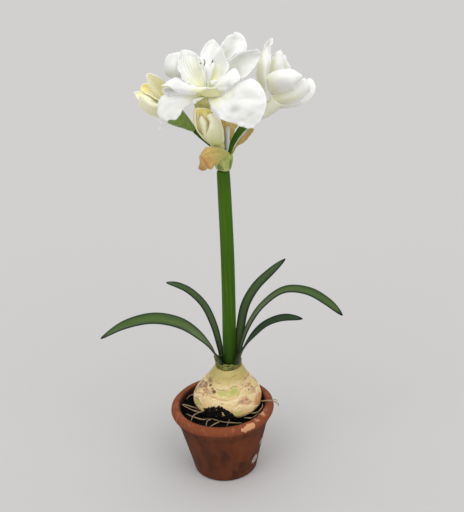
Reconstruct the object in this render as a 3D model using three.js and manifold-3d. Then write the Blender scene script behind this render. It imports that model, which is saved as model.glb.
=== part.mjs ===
// A potted amaryllis: clay pot, soil, bulb, strap leaves and one flowering stem.
// Millimetres, +Z up. The origin is at the centre of the pot's underside and the
// front of the plant faces -Y.
import * as THREE from "three";
import { mergeVertices } from "three/addons/utils/BufferGeometryUtils.js";
import Module from "manifold-3d";

const wasm = await Module();
wasm.setup();

// Pot
const RIM_RADIUS = 65;
const POT_HEIGHT = 94;
const BASE_RADIUS = 40;
const FLOOR = 6;
const DRAIN_RADIUS = 7;
const MOUTH_RADIUS = 53.5;
const POT_SIDES = 36;

// Soil
const SOIL_LEVEL = 86;
const GAP = 0.25; // between pieces that touch

// Bulb
const BULB_RADIUS = 43.7;
const BULB_FOOT = 71;
const NECK_TOP = 146;
const WELL_FLOOR = 136; // the scape and the leaves stand in a well in the neck
const WELL_RADIUS = 17;
const NECK = [12.6, 0];

// Scape
const SCAPE_RADIUS = 8.4;
const SCAPE_TOP = 409;

// Sheet thicknesses
const LEAF = 1.6;
const PETAL = 0.9;
const BRACT = 0.8;

const v3 = (a) => new THREE.Vector3(...a);
const mix = (a, b, t) => a + (b - a) * t;

// ---------------------------------------------------------------- solids

// A closed geometry as a solid that can be joined and cut.
function toSolid(geometry) {
  geometry.deleteAttribute("normal");
  geometry.deleteAttribute("uv");
  const merged = mergeVertices(geometry, 1e-4);
  return new wasm.Manifold(
    new wasm.Mesh({
      numProp: 3,
      vertProperties: merged.attributes.position.array,
      triVerts: new Uint32Array(merged.index.array),
    }),
  );
}

// A solid from its corner points and triangles, turned to face outwards.
function solid(points, faces) {
  let volume = 0;
  for (const [a, b, c] of faces)
    volume += points[a].dot(points[b].clone().cross(points[c]));
  const out = volume < 0 ? faces.map(([a, b, c]) => [a, c, b]) : faces;
  const geometry = new THREE.BufferGeometry().setFromPoints(points);
  geometry.setIndex(out.flat());
  return toSolid(geometry);
}

// Skins a row of rings that all have the same number of points. A loop joins the
// last ring to the first, otherwise both ends are closed with a fan.
function skin(rings, loop = false) {
  const n = rings[0].length;
  const points = rings.flat();
  const faces = [];
  const last = loop ? rings.length : rings.length - 1;
  for (let i = 0; i < last; i++)
    for (let j = 0; j < n; j++) {
      const a = i * n + j;
      const b = i * n + ((j + 1) % n);
      const c = ((i + 1) % rings.length) * n + ((j + 1) % n);
      const d = ((i + 1) % rings.length) * n + j;
      faces.push([a, b, c], [a, c, d]);
    }
  if (!loop) {
    for (const [ring, flip] of [[0, true], [rings.length - 1, false]]) {
      const centre = new THREE.Vector3();
      rings[ring].forEach((p) => centre.add(p));
      points.push(centre.divideScalar(n));
      const hub = points.length - 1;
      for (let j = 0; j < n; j++) {
        const a = ring * n + j;
        const b = ring * n + ((j + 1) % n);
        faces.push(flip ? [hub, b, a] : [hub, a, b]);
      }
    }
  }
  return solid(points, faces);
}

// A level ring about a centre, its radius fixed or given by the angle.
function ring(x, y, z, radius, sides) {
  return Array.from({ length: sides }, (_, i) => {
    const angle = (2 * Math.PI * i) / sides;
    const r = typeof radius === "function" ? radius(angle) : radius;
    return new THREE.Vector3(x + r * Math.cos(angle), y + r * Math.sin(angle), z);
  });
}

// A round stalk along a path of points, thicker or thinner at each point.
function stalk(path, radii, sides = 8, steps = 2) {
  const curve = new THREE.CatmullRomCurve3(path.map(v3), false, "centripetal");
  const count = (path.length - 1) * steps;
  const rings = [];
  let across = null;
  for (let i = 0; i <= count; i++) {
    const t = i / count;
    const at = curve.getPoint(t);
    const along = curve.getTangent(t);
    across ??= new THREE.Vector3(0.31, 1, 0.17).cross(along);
    across = across.clone().addScaledVector(along, -across.dot(along)).normalize();
    const third = along.clone().cross(across);
    const k = Math.min(Math.floor(i / steps), path.length - 2);
    const r = mix(radii[k], radii[k + 1], i / steps - k);
    rings.push(
      Array.from({ length: sides }, (_, j) => {
        const angle = (2 * Math.PI * j) / sides;
        return at
          .clone()
          .addScaledVector(across, r * Math.cos(angle))
          .addScaledVector(third, r * Math.sin(angle));
      }),
    );
  }
  return skin(rings);
}

// The half-width of a leaf or petal along its length, as a share of the widest.
function outline(t, base, belly, tip) {
  if (t < belly)
    return base + (1 - base) * Math.pow(Math.sin((Math.PI / 2) * (t / belly)), 1.3);
  const far = Math.pow((t - belly) / (1 - belly), tip);
  return Math.pow(Math.max(Math.cos((Math.PI / 2) * far), 0), 0.85);
}

// A leaf, petal or bract: a thin sheet on a midrib. `face` is the way the inner
// side looks at the base and `faceTip` at the tip; `cup` lifts both edges and
// `wave` ruffles them.
function blade(b, thick) {
  const { rib, width, face, base = 0.35, belly = 0.55, tip = 2, cup = 0.2 } = b;
  const { faceTip = face, wave = 0, waves = 2, phase = 0, rows = 8, cols = 4 } = b;
  const curve = new THREE.CatmullRomCurve3(rib.map(v3), false, "centripetal");
  const mid = [];
  for (let i = 0; i <= rows; i++) {
    const t = i / rows;
    const turn = Math.sin((Math.PI / 2) * Math.min(1, 1.5 * t));
    const at = curve.getPoint(t);
    const along = curve.getTangent(t);
    const up = v3(face).lerp(v3(faceTip), turn);
    up.addScaledVector(along, -up.dot(along)).normalize();
    const side = along.clone().cross(up);
    const half = Math.max(outline(Math.min(t, 0.999), base, belly, tip), 0.03);
    const w = (half * width) / 2;
    const line = [];
    for (let j = 0; j <= cols; j++) {
      const s = (2 * j) / cols - 1;
      const ruffle =
        wave * Math.abs(s) ** 3 *
        Math.sin(2 * Math.PI * waves * t + phase + (s > 0 ? 1.3 : 0));
      line.push(
        at
          .clone()
          .addScaledVector(side, s * w * (1 - 0.25 * Math.min(Math.abs(cup), 1.2) * s * s))
          .addScaledVector(up, w * (cup * s * s + ruffle)),
      );
    }
    mid.push(line);
  }
  return sheet(mid, thick);
}

// A petal or bract on three rails: one edge, the midrib and the other edge, each
// a smooth line from the base to the tip. Across, it is a parabola through the three.
function petal(rails, thick, cols = 4) {
  const [one, middle, other] = [0, 1, 2].map(
    (k) => new THREE.CatmullRomCurve3(rails.map((r) => v3(r[k])), false, "centripetal"),
  );
  const rows = 2 * (rails.length - 1);
  const mid = [];
  for (let i = 0; i <= rows; i++) {
    const line = [];
    for (let j = 0; j <= cols; j++) {
      const s = (2 * j) / cols - 1;
      const t = (i / rows) * (1 - 0.045 * s ** 4 * (i / rows) ** 5);
      const [a, m, b] = [one, middle, other].map((c) => c.getPoint(t));
      line.push(
        new THREE.Vector3()
          .addScaledVector(m, 1 - s * s)
          .addScaledVector(a, (s * s - s) / 2)
          .addScaledVector(b, (s * s + s) / 2),
      );
    }
    mid.push(line);
  }
  return sheet(mid, thick);
}

// Thickens a grid of points to both sides along its own normals.
function sheet(mid, thick) {
  const rows = mid.length;
  const cols = mid[0].length;
  const top = [];
  const under = [];
  for (let i = 0; i < rows; i++)
    for (let j = 0; j < cols; j++) {
      const down = mid[Math.min(i + 1, rows - 1)][j].clone().sub(mid[Math.max(i - 1, 0)][j]);
      const over = mid[i][Math.min(j + 1, cols - 1)].clone().sub(mid[i][Math.max(j - 1, 0)]);
      const normal = down.cross(over).normalize().multiplyScalar(thick / 2);
      top.push(mid[i][j].clone().add(normal));
      under.push(mid[i][j].clone().sub(normal));
    }
  const n = rows * cols;
  const faces = [];
  const quad = (a, b, c, d) => faces.push([a, b, c], [a, c, d]);
  for (let i = 0; i + 1 < rows; i++)
    for (let j = 0; j + 1 < cols; j++) {
      const a = i * cols + j;
      quad(a, a + 1, a + cols + 1, a + cols);
      faces.push([n + a, n + a + cols + 1, n + a + 1], [n + a, n + a + cols, n + a + cols + 1]);
    }
  for (let i = 0; i + 1 < rows; i++) {
    const l = i * cols;
    const r = l + cols - 1;
    quad(l, l + cols, n + l + cols, n + l);
    quad(r + cols, r, n + r, n + r + cols);
  }
  for (let j = 0; j + 1 < cols; j++) {
    const f = (rows - 1) * cols + j;
    quad(j + 1, j, n + j, n + j + 1);
    quad(f, f + 1, n + f + 1, n + f);
  }
  return solid([...top, ...under], faces);
}

const largest = (body) => body.decompose().sort((a, b) => b.volume() - a.volume())[0];
const join = (list) => largest(wasm.Manifold.union(list));

// Cuts the clearance of another piece away and keeps what is left in one body.
const trim = (piece, clearance) => largest(piece.subtract(clearance));

// ---------------------------------------------------------------- pot and soil

function pot() {
  const profile = [
    [DRAIN_RADIUS, 0], [BASE_RADIUS - 1.5, 0], [BASE_RADIUS, 1.5],
    [49, 40], [56.8, 72], [57.9, 74], [58.3, 78],
    [60, 79.6], [63, 80.6], [64.6, 82.8], [RIM_RADIUS, 86], [64.2, 89.5],
    [61.8, 92.4], [58.6, POT_HEIGHT], [55.6, 93.4], [MOUTH_RADIUS, 91],
    [53, 82], [35, FLOOR], [DRAIN_RADIUS, FLOOR], [DRAIN_RADIUS, 0],
  ];
  const outline2d = profile.map(([r, z]) => new THREE.Vector2(r, z));
  const turned = new THREE.LatheGeometry(outline2d, POT_SIDES);
  return toSolid(turned.rotateX(Math.PI / 2));
}

// Height of the soil: nearly level, heaped a little against the front of the bulb.
function soilTop(x, y) {
  const heap = 4 * Math.exp(-(((x + 10) / 13) ** 2) - ((y + 36) / 7) ** 2);
  return SOIL_LEVEL + heap + 0.8 * Math.sin(0.31 * x + 1) * Math.sin(0.27 * y);
}

function soil() {
  const rings = [];
  const wall = (z) => mix(35, 53, (z - FLOOR) / (82 - FLOOR)) - GAP;
  for (const z of [FLOOR + GAP, 45, 80])
    rings.push(ring(0, 0, z, wall(z), POT_SIDES));
  for (const r of [52.2, 48, 43, 37, 25])
    rings.push(
      ring(0, 0, 0, r, POT_SIDES).map((p) => p.setZ(soilTop(p.x, p.y))),
    );
  return skin(rings);
}

// ---------------------------------------------------------------- bulb

const BULB_PROFILE = [
  [BULB_FOOT, 11], [75, 19], [80, 25], [85, 29.5], [89, 34], [92.5, 38.2],
  [96, 41.8], [99.6, BULB_RADIUS], [99.9, 42.7], [106, 42.6], [112, 41],
  [117.6, 38.9], [118, 37.8], [123, 35.4], [128.6, 32.2], [129, 31],
  [134, 27.6], [139, 24.6], [143, 22], [NECK_TOP, 20],
];

// The bulb leans a little to the right above its widest part.
const bulbX = (z) => mix(7.6, NECK[0], Math.max(0, Math.min(1, (z - 100) / 46)));

function bulbRing(z, radius, grow) {
  return ring(bulbX(z), 0, z, (a) => {
    const lumps = Math.sin(3 * a + 0.05 * z) + 0.6 * Math.sin(7 * a - 0.09 * z);
    return radius * (1 + 0.008 * lumps) + grow;
  }, 32);
}

const bulbBody = (grow) =>
  skin([
    ...BULB_PROFILE.map(([z, r], i) => bulbRing(i ? z : z - grow, r, grow)),
    ring(...NECK, NECK_TOP, WELL_RADIUS, 32),
    ring(...NECK, WELL_FLOOR, WELL_RADIUS - 1, 32),
  ]);

// A thin root that leaves the bulb at an angle and wanders out over the soil.
function root(angle, reach, bend, thick) {
  const path = [];
  for (let i = 0; i <= 4; i++) {
    const r = mix(24, reach, i / 4);
    const a = angle + bend * (i / 4) ** 2 + 0.05 * Math.sin(2.4 * i + angle);
    const x = 7.6 + r * Math.cos(a);
    const y = r * Math.sin(a);
    path.push([x, y, soilTop(x, y) + thick + 0.9 + 0.5 * Math.sin(3 * i + angle)]);
  }
  return stalk(path, [thick, thick, thick, thick * 0.8, thick * 0.5], 6, 2);
}

const ROOTS = [
  // angle, reach, bend, thickness
  [-2.75, 46, 0.35, 1.1], [-2.3, 49, -0.35, 1.3], [-1.75, 48, 0.45, 1.2],
  [-1.35, 46, -0.4, 1.0], [-0.95, 43, 0.35, 1.2], [-0.5, 39, -0.3, 1.0],
  [0.8, 39, 0.3, 1.0], [1.8, 46, 0.4, 1.1], [2.6, 48, -0.3, 1.2],
];

function bulb() {
  const overRim = stalk(
    [[38, 2, 91], [47, 1, 94], [55, -1, 96.4], [63, -2, 96.6], [69, -2, 92], [70.5, -2, 85]],
    [1.2, 1.2, 1.1, 1.1, 1, 0.7], 6, 2,
  );
  return join([bulbBody(0), overRim, ...ROOTS.map((r) => root(...r))]);
}

// Torn stubs of old leaf sheaths stand in a ring on the neck.
function neckSheath() {
  const tear = (a) => 5.5 + 3.2 * Math.sin(2 * a + 0.6) + 2.2 * Math.sin(5 * a + 1);
  const sides = 40;
  const low = NECK_TOP + GAP;
  const at = (r, z) => ring(...NECK, z, r, sides);
  const torn = (r) =>
    at(r, low).map((p, i) => p.setZ(low + 2 + tear((2 * Math.PI * i) / sides)));
  return skin([at(19.6, low), torn(18.8), torn(17.7), at(17.1, low)], true);
}

// ---------------------------------------------------------------- scape and leaves

const SCAPE_PATH = [
  [13.3, 0, WELL_FLOOR + GAP], [13.5, 0, 180], [15, 0, 220], [17.2, 0, 300],
  [17.8, 0, 380], [17.8, 0, SCAPE_TOP],
];
const scape = () => stalk(SCAPE_PATH, Array(6).fill(SCAPE_RADIUS), 14, 1);

// Leaves stand around the scape. The inner side faces it at the base and turns
// upwards along the leaf.
const LEAF_FOOT = WELL_FLOOR + 0.8;
const LEAVES = {
  leaf_left_low: {
    rib: [[5, -8, LEAF_FOOT], [3, -9, 157], [-4, -12, 174], [-22, -17, 200],
      [-44, -19.5, 220], [-74, -18, 228], [-110, -9, 217], [-144.5, 4, 193]],
    width: 20, face: [0.75, 0.65, 0], faceTip: [0, -0.3, 1], belly: 0.6,
  },
  leaf_left_high: {
    rib: [[5, 8, LEAF_FOOT], [3, 9, 149], [1, 13, 166], [-5, 24, 192],
      [-16, 39, 213], [-33, 53, 226], [-49, 66, 229], [-63, 79, 227]],
    width: 11.5, face: [0.75, -0.65, 0], faceTip: [0.2, -0.5, 1], belly: 0.6,
  },
  leaf_right_tall: {
    rib: [[18.8, 10.3, LEAF_FOOT], [20, 10, 149], [24, 11, 163], [28, 15, 188],
      [36, 24, 218], [50, 36, 236], [68, 48, 248], [89, 62, 260]],
    width: 13, face: [-0.5, -0.9, 0], faceTip: [-0.3, -0.6, 0.8], belly: 0.6,
  },
  leaf_right_long: {
    rib: [[25, 0, LEAF_FOOT], [25.3, 0, 152], [28, 0, 172], [40, 0, 204],
      [58, -2, 231], [84, -7, 251.5], [110.5, -15, 252], [132, -24, 241.5], [150, -33, 227.5]],
    width: 17, face: [-1, 0, 0], faceTip: [0, -0.1, 1], belly: 0.65,
  },
  leaf_right_low: {
    rib: [[18.8, -10.3, LEAF_FOOT], [21, -11.5, 155], [28, -14, 174], [41, -19, 196],
      [59, -24, 216], [79, -31, 227], [102, -38, 229]],
    width: 15, face: [-0.5, 0.9, 0], faceTip: [0, -0.2, 1], belly: 0.6,
  },
};
for (const leaf of Object.values(LEAVES))
  Object.assign(leaf, { base: 0.5, tip: 1.5, cup: 0.25, rows: 15, cols: 4 });

// ---------------------------------------------------------------- umbel

// The swollen top of the scape, on which the flower stalks stand.
const COLLAR_TOP = 427;
const COLLAR = [
  [[17.8, 0, SCAPE_TOP + GAP], 8.7], [[18.3, 0, 412], 9.7], [[19.6, 0, 417], 9.8],
  [[21.2, 0, 422.5], 8.8], [[22.3, 0, COLLAR_TOP], 7.6],
];
const collar = (grow) =>
  skin(
    COLLAR.map(([[x, y, z], r], i) =>
      ring(x, y, z + (i === 0 ? -grow : i === 4 ? grow : 0), r + grow, 18),
    ),
  );

// Each stalk starts upright on the collar.
const STAND = COLLAR_TOP + 0.3;
const PEDICELS = {
  pedicel_front: {
    path: [[21.5, 4, STAND], [21.5, 4, 430], [17, 3.5, 439], [11, 0, 451], [5, -6, 461]],
    radii: [2.2, 2.2, 2.6, 3.2, 3.8],
  },
  pedicel_right: {
    path: [[26.6, 1.5, STAND], [26.7, 1.5, 430], [31, 3, 440], [41, 3, 455],
      [53, 4, 464], [64, 5, 468.4]],
    radii: [2.1, 2.2, 3.2, 4.2, 4, 3.6],
  },
  pedicel_left: {
    path: [[17.6, -0.6, STAND], [17.4, -0.7, 430], [9, -5.5, 438.5], [-1.6, -10, 450],
      [-11.9, -13, 463]],
    radii: [2, 2, 2.1, 2.2, 2.8],
  },
  pedicel_bud: {
    path: [[20.8, -4.8, STAND], [20.8, -5, 430], [18, -10, 436]],
    radii: [2.1, 2.2, 3],
  },
};

// Bracts, petals and tepals: rows from base to tip, each with a point on one edge,
// on the midrib and on the other edge.
const BRACTS = {
  front: [
    [[26, -9, 431.5], [26, -12, 431], [24, -11, 428.5]],
    [[19, -25, 443], [18.5, -29, 439], [17, -24, 430]],
    [[9.5, -36, 450.5], [10, -39, 443.5], [10.5, -33, 427.5]],
    [[1, -39, 452.5], [2, -41, 442.5], [5.5, -37, 425]],
    [[-6, -38, 445.5], [-5.5, -40, 437], [-1, -38, 424.5]],
  ],
  corner: [
    [[-6.5, -40, 444.5], [-2.5, -43, 436.5], [1.5, -41, 428]],
    [[-7, -41, 441], [-5, -45, 434.5], [-1.5, -42, 426]],
    [[-6.5, -40, 434.5], [-7, -43, 430.5], [-5, -41, 425]],
    [[-9, -39, 428], [-9.5, -39, 427], [-8, -40, 426]],
  ],
  back: [
    [[21, 8, 427.5], [23, 9, 426], [25.5, 8, 427]],
    [[18, 12, 440], [23.5, 14, 439], [29, 11, 439]],
    [[16.5, 17, 452.5], [24.5, 20, 451], [33.5, 16, 446.5]],
    [[17, 22, 464], [26.5, 26, 459.5], [37.5, 22, 455]],
  ],
  right: [
    [[26, 6, 426], [27.5, 5, 424], [29, 5, 423]],
    [[32.5, 9, 433], [33.5, 8, 432.5], [34.5, 8, 431.5]],
    [[39, 10, 444], [41.5, 9, 441], [42, 10, 436]],
    [[44.5, 12, 450], [47.5, 10, 446.5], [48.5, 12, 441]],
    [[50.5, 13, 453.5], [52.5, 12, 451], [54, 13, 447]],
    [[53.5, 14, 451.5], [55, 14, 450.5], [55, 14, 449.5]],
  ],
  membrane: [
    [[21.5, -2, 431], [22.5, -2.5, 430], [24, -2, 429.5]],
    [[21, -8, 445], [24, -9, 445], [27, -8, 445]],
    [[22.5, -9, 455], [25, -10, 455.5], [27.5, -9, 455]],
    [[24, -7, 463], [26.5, -7, 463], [28.5, -7, 463.5]],
  ],
};

// ---------------------------------------------------------------- flowers

const FRONT_FLOWER = {
  "low left": [
    [[1, -44, 513.5], [1.5, -45, 512.5], [2.5, -46, 511]],
    [[-12, -53, 518], [-13, -57, 514.5], [-11, -57, 510]],
    [[-27.5, -58, 520], [-27, -63, 512.5], [-22, -63, 502.5]],
    [[-40.5, -60, 520], [-37.5, -67, 510.5], [-28.5, -67, 496]],
    [[-48.5, -62, 505], [-44, -68, 501.5], [-36, -68, 495]],
    [[-45, -62, 496], [-43, -66, 495], [-38, -65, 490]],
    [[-49, -60, 483.5], [-48, -60, 481.5], [-45.5, -60, 484.5]],
  ],
  "low right": [
    [[6, -45, 509.5], [7, -45, 510], [8, -44, 510]],
    [[9.5, -56, 501.5], [17, -57, 508], [19.5, -51, 512]],
    [[17.5, -64, 493.5], [28, -65, 505], [29, -55, 521]],
    [[30, -70, 488.5], [41.5, -71, 509], [41.5, -57, 529.5]],
    [[44, -74, 485.5], [55.5, -74, 508], [54.5, -58, 532.5]],
    [[55, -75, 484], [67, -72, 507], [62.5, -60, 527]],
  ],
  right: [
    [[7.5, -42, 512], [8.5, -43, 512.5], [9.5, -43, 511.5]],
    [[15.5, -36, 525], [16, -38, 523.5], [17, -39, 520]],
    [[24.5, -31, 536], [24, -32, 533.5], [25, -33, 530.5]],
    [[31, -26, 544.5], [33.5, -27, 536], [38, -32, 526]],
    [[42, -21, 551], [43, -17, 536.5], [46.5, -27, 523.5]],
    [[54.5, -17, 551.5], [54.5, -13, 539], [54, -20, 528]],
    [[66.5, -14, 550], [65, -12, 542.5], [61, -15, 534.5]],
  ],
  "high right": [
    [[6.5, -41, 512], [7.5, -42, 512.5], [9, -41, 512]],
    [[12.5, -34, 531], [14, -36, 530.5], [16, -35, 529]],
    [[18.5, -28, 547.5], [21, -28, 544.5], [25, -29, 543]],
    [[21, -22, 557], [25.5, -18, 550.5], [30, -23, 543.5]],
    [[25.5, -14, 561], [33.5, -9, 554.5], [37.5, -15, 546.5]],
    [[33.5, -5, 566], [40.5, 0, 557.5], [46, -8, 548]],
    [[40.5, 4, 567.5], [49.5, 3, 560], [52.5, -3, 547]],
  ],
  top: [
    [[5, -42, 512.5], [6.5, -44, 513], [8, -42, 512.5]],
    [[5, -43, 539], [9, -46, 540], [13, -43, 538.5]],
    [[1, -34, 547.5], [8.5, -36, 547], [17, -34, 546.5]],
    [[1, -26, 553.5], [9, -22, 552], [19.5, -26, 552.5]],
    [[4.5, -17, 559], [12.5, -13, 557.5], [23, -20, 556]],
    [[10.5, -12, 562.5], [15, -10, 563.5], [20, -14, 560.5]],
  ],
  "left, rolled back": [
    [[4, -42, 512.5], [4.5, -43, 512.5], [5, -43, 511.5]],
    [[-3, -35, 533.5], [-2, -38, 531], [-2.5, -39, 527]],
    [[-11, -24, 551], [-10, -27, 542], [-14, -33, 526]],
    [[-20, -21, 555], [-19.5, -32, 544], [-21.5, -35, 530]],
    [[-28.5, -15, 553], [-28.5, -33, 544.5], [-30, -31, 527.5]],
    [[-35, -6, 548.5], [-37, -23, 541.5], [-36, -20, 527]],
    [[-37, 4, 540], [-38.5, -4, 533], [-37, -6, 526]],
    [[-33.5, 8, 533.5], [-35.5, 4, 528.5], [-33.5, 2, 524]],
  ],
  "inner left": [
    [[2.5, -44, 513.5], [3.5, -46, 514], [5, -46, 514]],
    [[-5, -52, 525], [0, -50, 523.5], [6.5, -48, 523]],
    [[-15.5, -53, 529.5], [-6, -44, 533], [4.5, -43, 535.5]],
    [[-21.5, -49, 539], [-12, -38, 543.5], [3, -41, 546]],
    [[-23, -41, 550], [-14, -31, 551], [1.5, -37, 551.5]],
    [[-21.5, -33, 559.5], [-13, -28, 559], [-0.5, -34, 554.5]],
  ],
  "inner right": [
    [[6.5, -45, 513.5], [8, -47, 514], [9, -46, 514]],
    [[7, -49, 525], [11.5, -51, 525.5], [16, -50, 525]],
    [[5.5, -46, 533], [13.5, -42, 531.5], [22.5, -48, 531.5]],
    [[8, -43, 542], [17, -37, 541], [31, -43, 544]],
    [[13.5, -38, 550.5], [20.5, -34, 550.5], [27.5, -37, 549.5]],
    [[22.5, -33, 559.5], [23.5, -33, 560.5], [24.5, -33, 558.5]],
  ],
  "lip left": [
    [[6.5, -46, 513.5], [5.5, -47, 513], [5, -47, 513]],
    [[10.5, -55, 524], [8, -56, 523.5], [7, -57, 523]],
    [[-3, -59, 527.5], [-4.5, -63, 525.5], [-5, -63, 522]],
    [[-16, -60, 532.5], [-17, -66, 529], [-16.5, -66, 523]],
    [[-25, -59, 538.5], [-26.5, -67, 532.5], [-27.5, -68, 526.5]],
    [[-34, -61, 536], [-35, -67, 535.5], [-33.5, -69, 533.5]],
    [[-40.5, -63, 532.5], [-41, -66, 533], [-40.5, -67, 532.5]],
  ],
  "lip right": [
    [[10.5, -46, 513.5], [11, -47, 513.5], [11.5, -47, 512.5]],
    [[13.5, -52, 525.5], [14, -53, 523.5], [15, -54, 521]],
    [[20.5, -52, 531.5], [21, -57, 528], [23.5, -57, 522.5]],
    [[27.5, -50, 537.5], [29.5, -59, 532.5], [32, -60, 527]],
    [[34, -47, 541.5], [36, -58, 537], [38, -61, 530.5]],
    [[38, -50, 541.5], [41, -58, 537.5], [41.5, -60, 533.5]],
  ],
  "under the cup": [
    [[0, -46, 513], [10, -48, 510.5], [19.5, -46, 510]],
    [[-5, -53, 518], [7.5, -57, 516.5], [23, -53, 515]],
    [[-10, -56, 523.5], [6, -59, 522.5], [25, -54, 521]],
    [[-13, -55, 526], [4, -56, 525], [17, -54, 523]],
  ],
  "curled end": [
    [[-20.5, -65.5, 528.5], [-20.5, -66, 526.5], [-21, -66.5, 524.5]],
    [[-26.5, -62, 528.5], [-27, -61, 525], [-27.5, -63, 522]],
    [[-33, -62, 530], [-33.5, -59, 524.5], [-33.5, -62, 520]],
    [[-40, -62, 530], [-41, -61, 525.5], [-39, -63, 521.5]],
  ],
  fold: [
    [[3, -45, 512], [3.5, -46, 512], [3, -46, 511.5]],
    [[-4, -55, 514], [-4, -57, 512.5], [-4.5, -56, 511.5]],
    [[-10, -57, 512], [-10.5, -58, 511.5], [-9.5, -57, 510]],
  ],
  throat: [
    [[9, -44, 513], [9.5, -45, 513], [10, -44, 513]],
    [[8, -50, 526.5], [11.5, -51, 525], [14, -50, 524.5]],
    [[8.5, -49, 529.5], [13, -50, 529], [16.5, -49, 527]],
    [[13.5, -48, 531], [16.5, -48, 530], [19, -48, 528.5]],
  ],
};
// Each anther, from end to end.
const ANTHERS = [
  [[4, -50, 554.5], [5.5, -50, 551.5], [5, -50, 549], [4, -50, 546.5]],
  [[14, -50, 553.5], [13.5, -50, 551.5], [12, -50, 549.5]],
  [[0, -49, 550.5], [0.5, -49, 549.5], [1.5, -49, 548.5]],
];

const RIGHT_FLOWER = {
  tall: [
    [[69, 5, 485.5], [71, 0, 487], [74.5, 3, 487.5]],
    [[67.5, 7, 497.5], [71, -3, 503.5], [75.5, 3, 501]],
    [[60, 9, 511.5], [68.5, -4, 518], [73.5, 4, 512.5]],
    [[62, 11, 525.5], [69.5, -1, 530], [76.5, 5, 526.5]],
    [[67, 11, 537.5], [72, 11, 539], [78, 7, 536.5]],
    [[71.5, 13, 548.5], [74.5, 17, 546.5], [77, 10, 544.5]],
    [[78, 15, 554], [80, 15, 554.5], [81.5, 13, 552.5]],
  ],
  second: [
    [[76.5, 8, 492], [79, 6, 492.5], [82, 8, 492]],
    [[72.5, 12, 513], [81, 8, 509.5], [90.5, 12, 507.5]],
    [[77.5, 16, 527], [84.5, 11, 525.5], [91.5, 14, 521.5]],
    [[82, 18, 535.5], [86.5, 15, 534], [91, 16, 531]],
    [[88.5, 19, 539.5], [89, 19, 539.5], [90, 18, 539]],
  ],
  third: [
    [[77.5, 8, 489], [79, 9, 488], [80.5, 9, 488.5]],
    [[84.5, 20, 505.5], [90, 20, 505], [99.5, 21, 504]],
    [[88.5, 27, 523.5], [94, 26, 525], [99.5, 26, 517]],
    [[92, 30, 530], [94.5, 30, 530], [96.5, 29, 526]],
  ],
  "upper front": [
    [[78.5, 0, 494], [76, -3, 499], [72, 0, 502.5]],
    [[85.5, -5, 498.5], [80, -13, 511], [71.5, -2, 516]],
    [[93.5, -9, 502], [89.5, -18, 517], [83, -4, 524]],
    [[100.5, -11, 505.5], [101, -17, 517.5], [97, -6, 525]],
    [[108, -10, 513], [110.5, -11, 517.5], [108, -9, 520]],
  ],
  "lower front": [
    [[80, 3, 480], [78.5, -1, 488], [79, 2, 494]],
    [[93.5, 0, 482.5], [90.5, -7, 492.5], [90, 0, 498.5]],
    [[105, -1, 486], [105.5, -9, 497.5], [104, -2, 506]],
    [[113.5, -1, 491], [115, -7, 502], [112.5, -2, 513]],
    [[119, 0, 496.5], [118.5, -3, 503.5], [115.5, 0, 510.5]],
  ],
  outer: [
    [[83, 8, 476.5], [83, 9, 480.5], [85, 14, 485.5]],
    [[97, 8, 476], [98.5, 9, 483.5], [101, 20, 494]],
    [[108, 7, 478.5], [111, 8, 486.5], [112.5, 22, 501.5]],
    [[117.5, 8, 482], [121, 10, 490.5], [121, 23, 503.5]],
    [[124.5, 12, 490], [126.5, 14, 495.5], [125.5, 22, 500.5]],
  ],
  below: [
    [[71, 4, 472], [70.5, 0, 477], [70.5, 2, 480.5]],
    [[82.5, 4, 476], [82.5, -3, 482.5], [83, 2, 487.5]],
    [[96.5, 4, 477], [96.5, -1, 482.5], [98.5, 4, 486.5]],
    [[111, 6, 480], [112, 4, 482.5], [114, 6, 487]],
  ],
};

const LEFT_BUD = {
  back: [
    [[-29.5, -14, 476.5], [-26.5, -6, 478], [-22, -8, 482.5]],
    [[-42, -17, 494], [-39.5, -3, 495], [-32, -6, 500]],
    [[-51.5, -19, 509.5], [-47, -5, 510], [-37.5, -10, 515]],
    [[-58, -21, 522], [-52, -10, 521.5], [-42.5, -14, 523.5]],
    [[-59.5, -20, 531], [-56.5, -16, 531.5], [-51, -16, 530]],
  ],
  inner: [
    [[-39, -20, 495], [-41.5, -14, 496], [-43, -16, 499.5]],
    [[-54, -24, 507], [-54.5, -16, 509.5], [-52, -18, 514.5]],
    [[-62, -24, 512.5], [-62, -18, 516.5], [-57, -20, 519.5]],
    [[-66.5, -22, 515], [-65.5, -20, 519.5], [-60.5, -20, 522.5]],
  ],
  side: [
    [[-44.5, -22, 490], [-46, -18, 494.5], [-45.5, -16, 499.5]],
    [[-57.5, -26, 498], [-56.5, -23, 504], [-53, -18, 508]],
    [[-67.5, -26, 503.5], [-65.5, -23, 509], [-60.5, -20, 513.5]],
    [[-71.5, -24, 508], [-71, -22, 511], [-67.5, -21, 514]],
    [[-73.5, -22, 513], [-74.5, -22, 513.5], [-73, -22, 514]],
  ],
  front: [
    [[-37.5, -12, 473], [-32.5, -24, 484.5], [-28.5, -20, 490]],
    [[-51, -14, 480.5], [-45.5, -31, 495], [-41, -24, 500.5]],
    [[-61, -16, 485.5], [-56.5, -34, 500.5], [-50, -26, 500.5]],
    [[-68.5, -18, 496], [-62, -32, 506], [-55.5, -27, 506.5]],
    [[-70, -22, 506.5], [-66.5, -27, 511.5], [-62, -26, 510.5]],
  ],
};

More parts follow.
